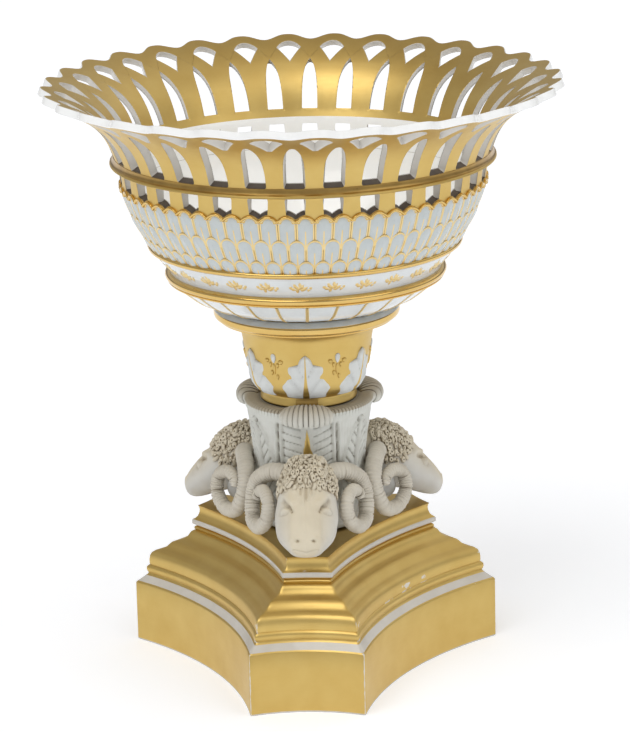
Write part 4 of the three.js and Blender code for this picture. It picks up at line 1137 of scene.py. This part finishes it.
# Height, start, end and reach of the ridges and grooves that are alike on both sides: brow, upper lid, lower
# lid, cheek, two folds of the forehead, side of the nose, nostril and mouth.
face_lines = [
    (1.7, (12.0, 35.5), (8.0, 43.5), 1.8), (-1.7, (12.6, 38.5), (7.9, 49.8), 0.9),
    (-0.5, (8.2, 50.0), (10.8, 49.4), 0.6), (-0.45, (9.4, 52.0), (9.6, 66.0), 1.5),
    (1.0, (4.6, 30.0), (3.8, 40.0), 0.7), (0.8, (7.4, 31.0), (6.4, 37.0), 0.7),
    (0.2, (3.0, 42.0), (2.6, 60.0), 0.6), (-0.5, (4.4, 69.8), (6.4, 67.0), 0.6),
    (-0.5, (0, 81.5), (7.0, 78.0), 0.6),
]
# The same for those about the middle: two folds of the forehead, the bridge and the groove under the nose.
middle_lines = [
    (1.5, (-0.9, 30.0), (-1.5, 46.0), 0.8), (1.3, (1.5, 30.0), (1.1, 43.0), 0.7),
    (0.3, (0.4, 46.0), (0.6, 64.0), 0.8), (-0.2, (0, 70.5), (0, 78.0), 0.6),
]


def face_relief(x, y):
    """The tooling of the face: across and down the face from the crown, in mm."""
    side = abs(x)
    # The eye is a ball with a cut groove round it, under a brow.
    relief = 2.1 * dent(side, y, eye, 2.0)
    relief -= 0.8 * math.exp(-((math.hypot(side - eye[0], y - eye[1]) - 2.8) / 0.6) ** 2)
    # The nostrils are two hollows beside the wings of the nose.
    relief += 0.9 * dent(side, y, (5.8, 68.5), 2.2) - 1.7 * dent(side, y, (4.6, 70.4), 1.1)
    for raised, start, end, reach in face_lines:
        relief += raised * crease(side, y, start, end, reach)
    for raised, start, end, reach in middle_lines:
        relief += raised * crease(x, y, start, end, reach)
    return relief


def on_head(column, row):
    """Where a point of the flat sheet lies on the head. Only its upper side is tooled."""
    spot = head_point(column, row)
    if 0 < row < head_lines and abs(column - head_columns / 2) < head_columns * 0.3:
        down_face = row / head_lines * last_station * station_mm
        spot += outwards_at(head_point, column, row) * face_relief(spot.x, down_face)
    return spot * mm


def head_handled(i):
    """Hands reach the bridge and the brow, not the jaw."""
    off_bridge = abs(i % (head_columns + 1) - head_columns / 2) / head_columns * 2 * places_round
    return max(0.0, min(1.0, (5.6 - off_bridge) / 3.6))


head = bent_sheet("ram_head", head_columns, head_lines, on_head)
marked(head, "handled", head_handled)
# The wool lies in rows from the neck to the crown, thinning out towards the cheeks.
# Rows are in stations of the head, and rings in places round its section.
wool_rows, first_row, last_row, row_pitch = 14, 1.25, 6.3, 0.38
rings_a_side, ring_pitch, wool_reach, ring_radius, clay_radius = 9, 0.58, 5.4, 0.62, 0.56
wool = []
shuffled = random.Random(7)
for step in range(wool_rows):
    station = first_row + row_pitch * step
    for k in range(-rings_a_side, rings_a_side + 1):
        place_round = k * ring_pitch + shuffled.uniform(-0.17, 0.17) + ring_pitch / 2 * (step % 2)
        if abs(place_round) > wool_reach or station > last_row - 0.05 * place_round ** 2:
            continue
        row = (station + shuffled.uniform(-0.08, 0.08)) / last_station * head_lines
        column = (place_round + places_round) / (2 * places_round) * head_columns
        away = outwards_at(head_point, column, row)
        size = shuffled.uniform(1.1, 1.65)
        tilted = away + Vector([shuffled.uniform(-0.8, 0.8) for _ in range(3)])
        take_up()
        bpy.ops.mesh.primitive_torus_add(major_segments=9, minor_segments=6,
                                         major_radius=ring_radius * size * mm,
                                         minor_radius=clay_radius * size * mm)
        ring = bpy.context.object
        ring.data.transform(Matrix.Diagonal((shuffled.uniform(0.7, 1.0), shuffled.uniform(1.0, 1.7), 1.25, 1)))
        ring.data.transform(Matrix.Translation((head_point(column, row) + away * 0.45) * mm)
                            @ tilted.to_track_quat("Z", "Y").to_matrix().to_4x4())
        marked(ring, "handled", lambda i: 0.9)
        wool.append(ring)
# Each ear is a flattened drop with a hollow pressed into its outer side.
for side in (-1, 1):
    take_up()
    bpy.ops.mesh.primitive_uv_sphere_add(segments=20, ring_count=14, radius=1)
    ear = bpy.context.object
    for point in ear.data.vertices:
        x, y, z = point.co
        hollow = 0.9 * math.exp(-((y - 0.1) ** 2 + (z + 0.1) ** 2) / 0.25) if x > 0 else 0
        out, ahead, up = 19.6 + (x - hollow) * 2.4 + 0.6 * z, 38.6 + y * 6.4 * (1 - 0.2 * z), 100.6 + z * 7.6
        point.co = Vector((side * out, -ahead, up)) * mm
    wool.append(ear)
head = joined([head] + wool)
coated(head, head_biscuit)
closed_up(head, 0.001 * mm)
for face in head.data.polygons:
    face.material_index = 0
head_nodes = ("ram_head_front", "ram_head_rear_right", "ram_head_rear_left")
heads = [head] + [copied(head, Matrix.Rotation(k * turn / 3, 4, "Z")) for k in (1, 2)]
for each, node in zip(heads, head_nodes):
    each.name = "carved_" + node
    smooth(each, 60)
    stands_for(each, "biscuit_porcelain", node)

# Horns. Each is a tapering roll of clay, scored across with a comb while it is soft, coiled and set in
# beside the wool with slip.
# Painted shade and dirt lie in every groove of the comb, so the horns look barred and a little darker than the
# faces.
horn_biscuit = biscuit("scored_biscuit_of_the_horns", "#D3CDBF", "#7A6B55", 2.2)
# Where the coil passes: across in mm, and ahead and above in steps from a point in the head.
coil_step, coil_ahead, coil_height = 12.5, 37, 103.3
horn_stops = [
    (9.52, 0.16, 1.3), (19.89, -0.4, 1.34), (28.69, -0.92, 0.82), (32.04, -0.97, 0.02), (32.04, -0.5, -0.92),
    (28.1, 0.35, -1.05), (23.48, 0.98, -0.52), (22.2, 0.95, 0.25), (24.46, 0.35, 0.62), (27.71, -0.25, 0.42),
    (29.78, -0.34, 0.05),
]
horn_stops = [(i, x, -(coil_ahead + ahead * coil_step), coil_height + above * coil_step)
              for i, (x, ahead, above) in enumerate(horn_stops)]
horn_lines, horn_columns, tip_lines = 220, 20, 14
root_thick, taper, comb_pitch, band_pitch = 5.5, 2.2, 1.7, 9
last_stop = len(horn_stops) - 1
horn_route = [Vector(between_rows(horn_stops, i / horn_lines * last_stop)) for i in range(horn_lines + 1)]
horn_runs = [0.0]
for first, second in zip(horn_route, horn_route[1:]):
    horn_runs.append(horn_runs[-1] + (second - first).length)
# Two directions across the roll at each line, carried along it without twisting.
horn_frames = []
sideways = Vector((0, 0, 1))
for i in range(horn_lines + 1):
    ahead = (horn_route[min(horn_lines, i + 1)] - horn_route[max(0, i - 1)]).normalized()
    sideways = (sideways - ahead * sideways.dot(ahead)).normalized()
    horn_frames.append((sideways.copy(), ahead.cross(sideways)))


def on_horn(column, row):
    """Where a point of the flat sheet lies on the horn. Columns run round the roll of clay."""
    share = horn_runs[row] / horn_runs[-1]
    thick = root_thick - taper * share ** 0.8
    if row in (0, horn_lines):
        thick = 0.0
    elif row > horn_lines - tip_lines:
        thick *= math.sqrt(1 - ((row - horn_lines + tip_lines) / (tip_lines + 0.2)) ** 2)
    # Fine grooves of the comb, and a deeper one between each two bands.
    ridge = 0.3 * math.sin(horn_runs[row] * turn / comb_pitch)
    ridge -= 0.35 * max(0.0, math.sin(horn_runs[row] * turn / band_pitch)) ** 6
    round_it = turn * column / horn_columns
    first, second = horn_frames[row]
    return (horn_route[row] + (first * math.cos(round_it) + second * math.sin(round_it))
            * max(0.0, thick + ridge * min(1.0, thick / 2))) * mm


right_horn = bent_sheet("horn", horn_columns, horn_lines, on_horn, is_round=True)
coated(right_horn, horn_biscuit)
left_horn = copied(right_horn, Matrix.Diagonal((-1, 1, 1, 1)))
for horn, side in ((right_horn, "right"), (left_horn, "left")):
    closed_up(horn)
    for k, where in enumerate(("front", "rear_right", "rear_left")):
        each = copied(horn, Matrix.Rotation(k * turn / 3, 4, "Z")) if k else horn
        each.name = "ridged_horn_" + side + "_" + where
        smooth(each, 70)
        stands_for(each, "biscuit_porcelain", "horn_" + side + "_" + where)

# Rod. A drawn iron rod, threaded at both ends with a die, runs up the axis and draws the stack together
# between two nuts.
rod_radius, thread_pitch, thread_depth, thread_step = 3.0, 1.0, 0.3, 0.25
rod_foot, rod_head, threaded = 63.6, 230.7, 24.0


def metal(name, light, dark, roughness, patch_mm):
    """A worked metal whose skin has dulled in patches."""
    material, shader, place = new_finish(name, Metallic=1.0, Roughness=roughness)
    patches = add_node(material, "ShaderNodeTexNoise", values={"Scale": 1000 / patch_mm, "Detail": 6.0},
                       links={"Vector": place})
    tone = add_node(material, "ShaderNodeMix", {"data_type": "RGBA"}, {6: linear(dark), 7: linear(light)},
                    {0: patches.outputs["Fac"]})
    rough = add_node(material, "ShaderNodeMapRange",
                     values={"To Min": roughness + 0.15, "To Max": roughness - 0.1},
                     links={"Value": patches.outputs["Fac"]})
    feed(material, shader, Base_Color=tone.outputs[2], Roughness=rough.outputs["Result"])
    return material


# Drawn iron has a dull dark skin with the first rust in patches. Brass was turned bright and has dulled to
# brown where it was not wiped.
dull_iron = metal("dull_drawn_iron", "#7C7670", "#4A3C33", 0.5, 4)
old_brass = metal("dulled_turned_brass", "#C9A35C", "#8F6E3A", 0.32, 5)
# Height and radius of each line of the rod. Its ends are chamfered, and the lines are close in the threads.
rod_heights = [(rod_foot, 0.0), (rod_foot, 2.2), (rod_foot + 0.6, 2.8)]
thread_lines = [0.8 + thread_step * i for i in range(int(threaded / thread_step))]
plain_foot, plain_long = rod_foot + threaded + 2, rod_head - rod_foot - 2 * threaded - 4
rod_heights += [(rod_foot + up, rod_radius) for up in thread_lines]
rod_heights += [(plain_foot + plain_long * i / 12, rod_radius) for i in range(13)]
rod_heights += [(rod_head - down, rod_radius) for down in reversed(thread_lines)]
rod_heights += [(rod_head - 0.6, 2.8), (rod_head, 2.2), (rod_head, 0.0)]


def on_rod(column, row):
    """Where a point of the flat sheet lies on the rod. The thread climbs one pitch in each turn."""
    z, radius = rod_heights[row]
    angle = turn * column / 24
    is_threaded = radius == rod_radius and min(z - rod_foot, rod_head - z) < threaded
    if is_threaded:
        off_crest = abs((z / thread_pitch - angle / turn) % 1 - 0.5) * 2
        radius -= thread_depth * (1 - off_crest)
    return Vector((radius * math.cos(angle), radius * math.sin(angle), z)) * mm


rod = bent_sheet("threaded_rod", 24, len(rod_heights) - 1, on_rod, is_round=True)
coated(rod, dull_iron)
closed_up(rod)
smooth(rod, 50)
stands_for(rod, "iron", "tie_rod")

# Nuts and washers. The nuts are sawn off a hexagon bar and chamfered on both faces. The metal washers are
# stamped, so one edge is rounder, and the soft ones are punched from the sheet.
countersink, chamfer = 0.5, 0.75


def nut(name, node, foot, tall, across_flats, bore, finish, slot):
    """A chamfered hexagon nut."""
    corner, face_edge, head = across_flats / 2 / math.cos(turn / 12), across_flats / 2 - 0.3, foot + tall
    lines = [(foot + countersink, bore), (foot, bore + countersink), (foot, face_edge),
             (foot + chamfer, corner), (head - chamfer, corner), (head, face_edge),
             (head, bore + countersink), (head - countersink, bore), (foot + countersink, bore)]

    def on_nut(column, row):
        z, radius = lines[row]
        angle = turn * column / 72
        from_flat = (angle % (turn / 6)) - turn / 12
        flat = across_flats / 2 / math.cos(from_flat)
        radius = min(radius, flat)
        # The chamfer is turned at 30 degrees, so it bites deepest at the corners.
        if row in (3, 4):
            z += (-1 if row == 3 else 1) * (corner - flat) * 0.58
        return Vector((radius * math.cos(angle), radius * math.sin(angle), z)) * mm

    piece = bent_sheet(name, 72, len(lines) - 1, on_nut, is_round=True)
    coated(piece, finish)
    closed_up(piece)
    smooth(piece, 25)
    stands_for(piece, slot, node)


def washer(name, node, foot, thick, radius, bore, soft, finish, slot):
    """A ring with softened edges. The edge that the punch leaves last is the sharper one."""
    lines = [(bore, foot + soft, 0), (bore + soft, foot, 0), (radius - soft, foot, 0), (radius, foot + soft, 0),
             (radius, foot + thick - soft, 0), (radius - soft * 0.3, foot + thick - soft * 0.3, 0),
             (radius - soft, foot + thick, 0), (bore + soft, foot + thick, 0), (bore, foot + thick - soft, 0),
             (bore, foot + soft, 0)]
    piece = turned(name, lines, 72, (finish,))
    smooth(piece, 40)
    stands_for(piece, slot, node)


def fibrous(name, light, dark, roughness, grain_mm):
    """Leather or cork cut from the sheet: matt and grained, and darker in the pits of the grain."""
    material, shader, place = new_finish(name, Roughness=roughness)
    cells = add_node(material, "ShaderNodeTexVoronoi", values={"Scale": 1000 / grain_mm},
                     links={"Vector": place})
    tone = add_node(material, "ShaderNodeMix", {"data_type": "RGBA"}, {6: linear(dark), 7: linear(light)},
                    {0: cells.outputs["Distance"]})
    bump = add_node(material, "ShaderNodeBump", values={"Strength": 0.5, "Distance": 0.0001},
                    links={"Height": cells.outputs["Distance"]})
    feed(material, shader, Base_Color=tone.outputs[2], Normal=bump.outputs["Normal"])
    return material


# The leather is tanned with bark: red-brown, with a pebbled grain and a low gloss. The cork is sliced from
# the block: tan, dry and pitted.
leather = fibrous("vegetable_tanned_leather", "#6E4A30", "#4B2F1E", 0.6, 0.8)
cork = fibrous("cut_cork", "#B98F5E", "#7C5733", 0.8, 1.4)
washer("leather_washer", "bowl_soft_washer", 218.6, 2.0, 13.0, 3.45, 0.5, leather, "leather")
washer("brass_washer", "bowl_washer", 220.9, 1.5, 10.0, 3.45, 0.35, old_brass, "brass")
nut("brass_nut", "bowl_nut", 222.7, 5.0, 10.0, 3.3, old_brass, "brass")
washer("cork_washer", "plinth_soft_washer", 73.7, 2.0, 13.0, 3.45, 0.5, cork, "cork")
washer("iron_washer", "plinth_washer", 71.9, 1.5, 12.0, 3.45, 0.35, dull_iron, "iron")
nut("iron_nut", "plinth_nut", 66.6, 5.0, 10.0, 3.3, dull_iron, "iron")
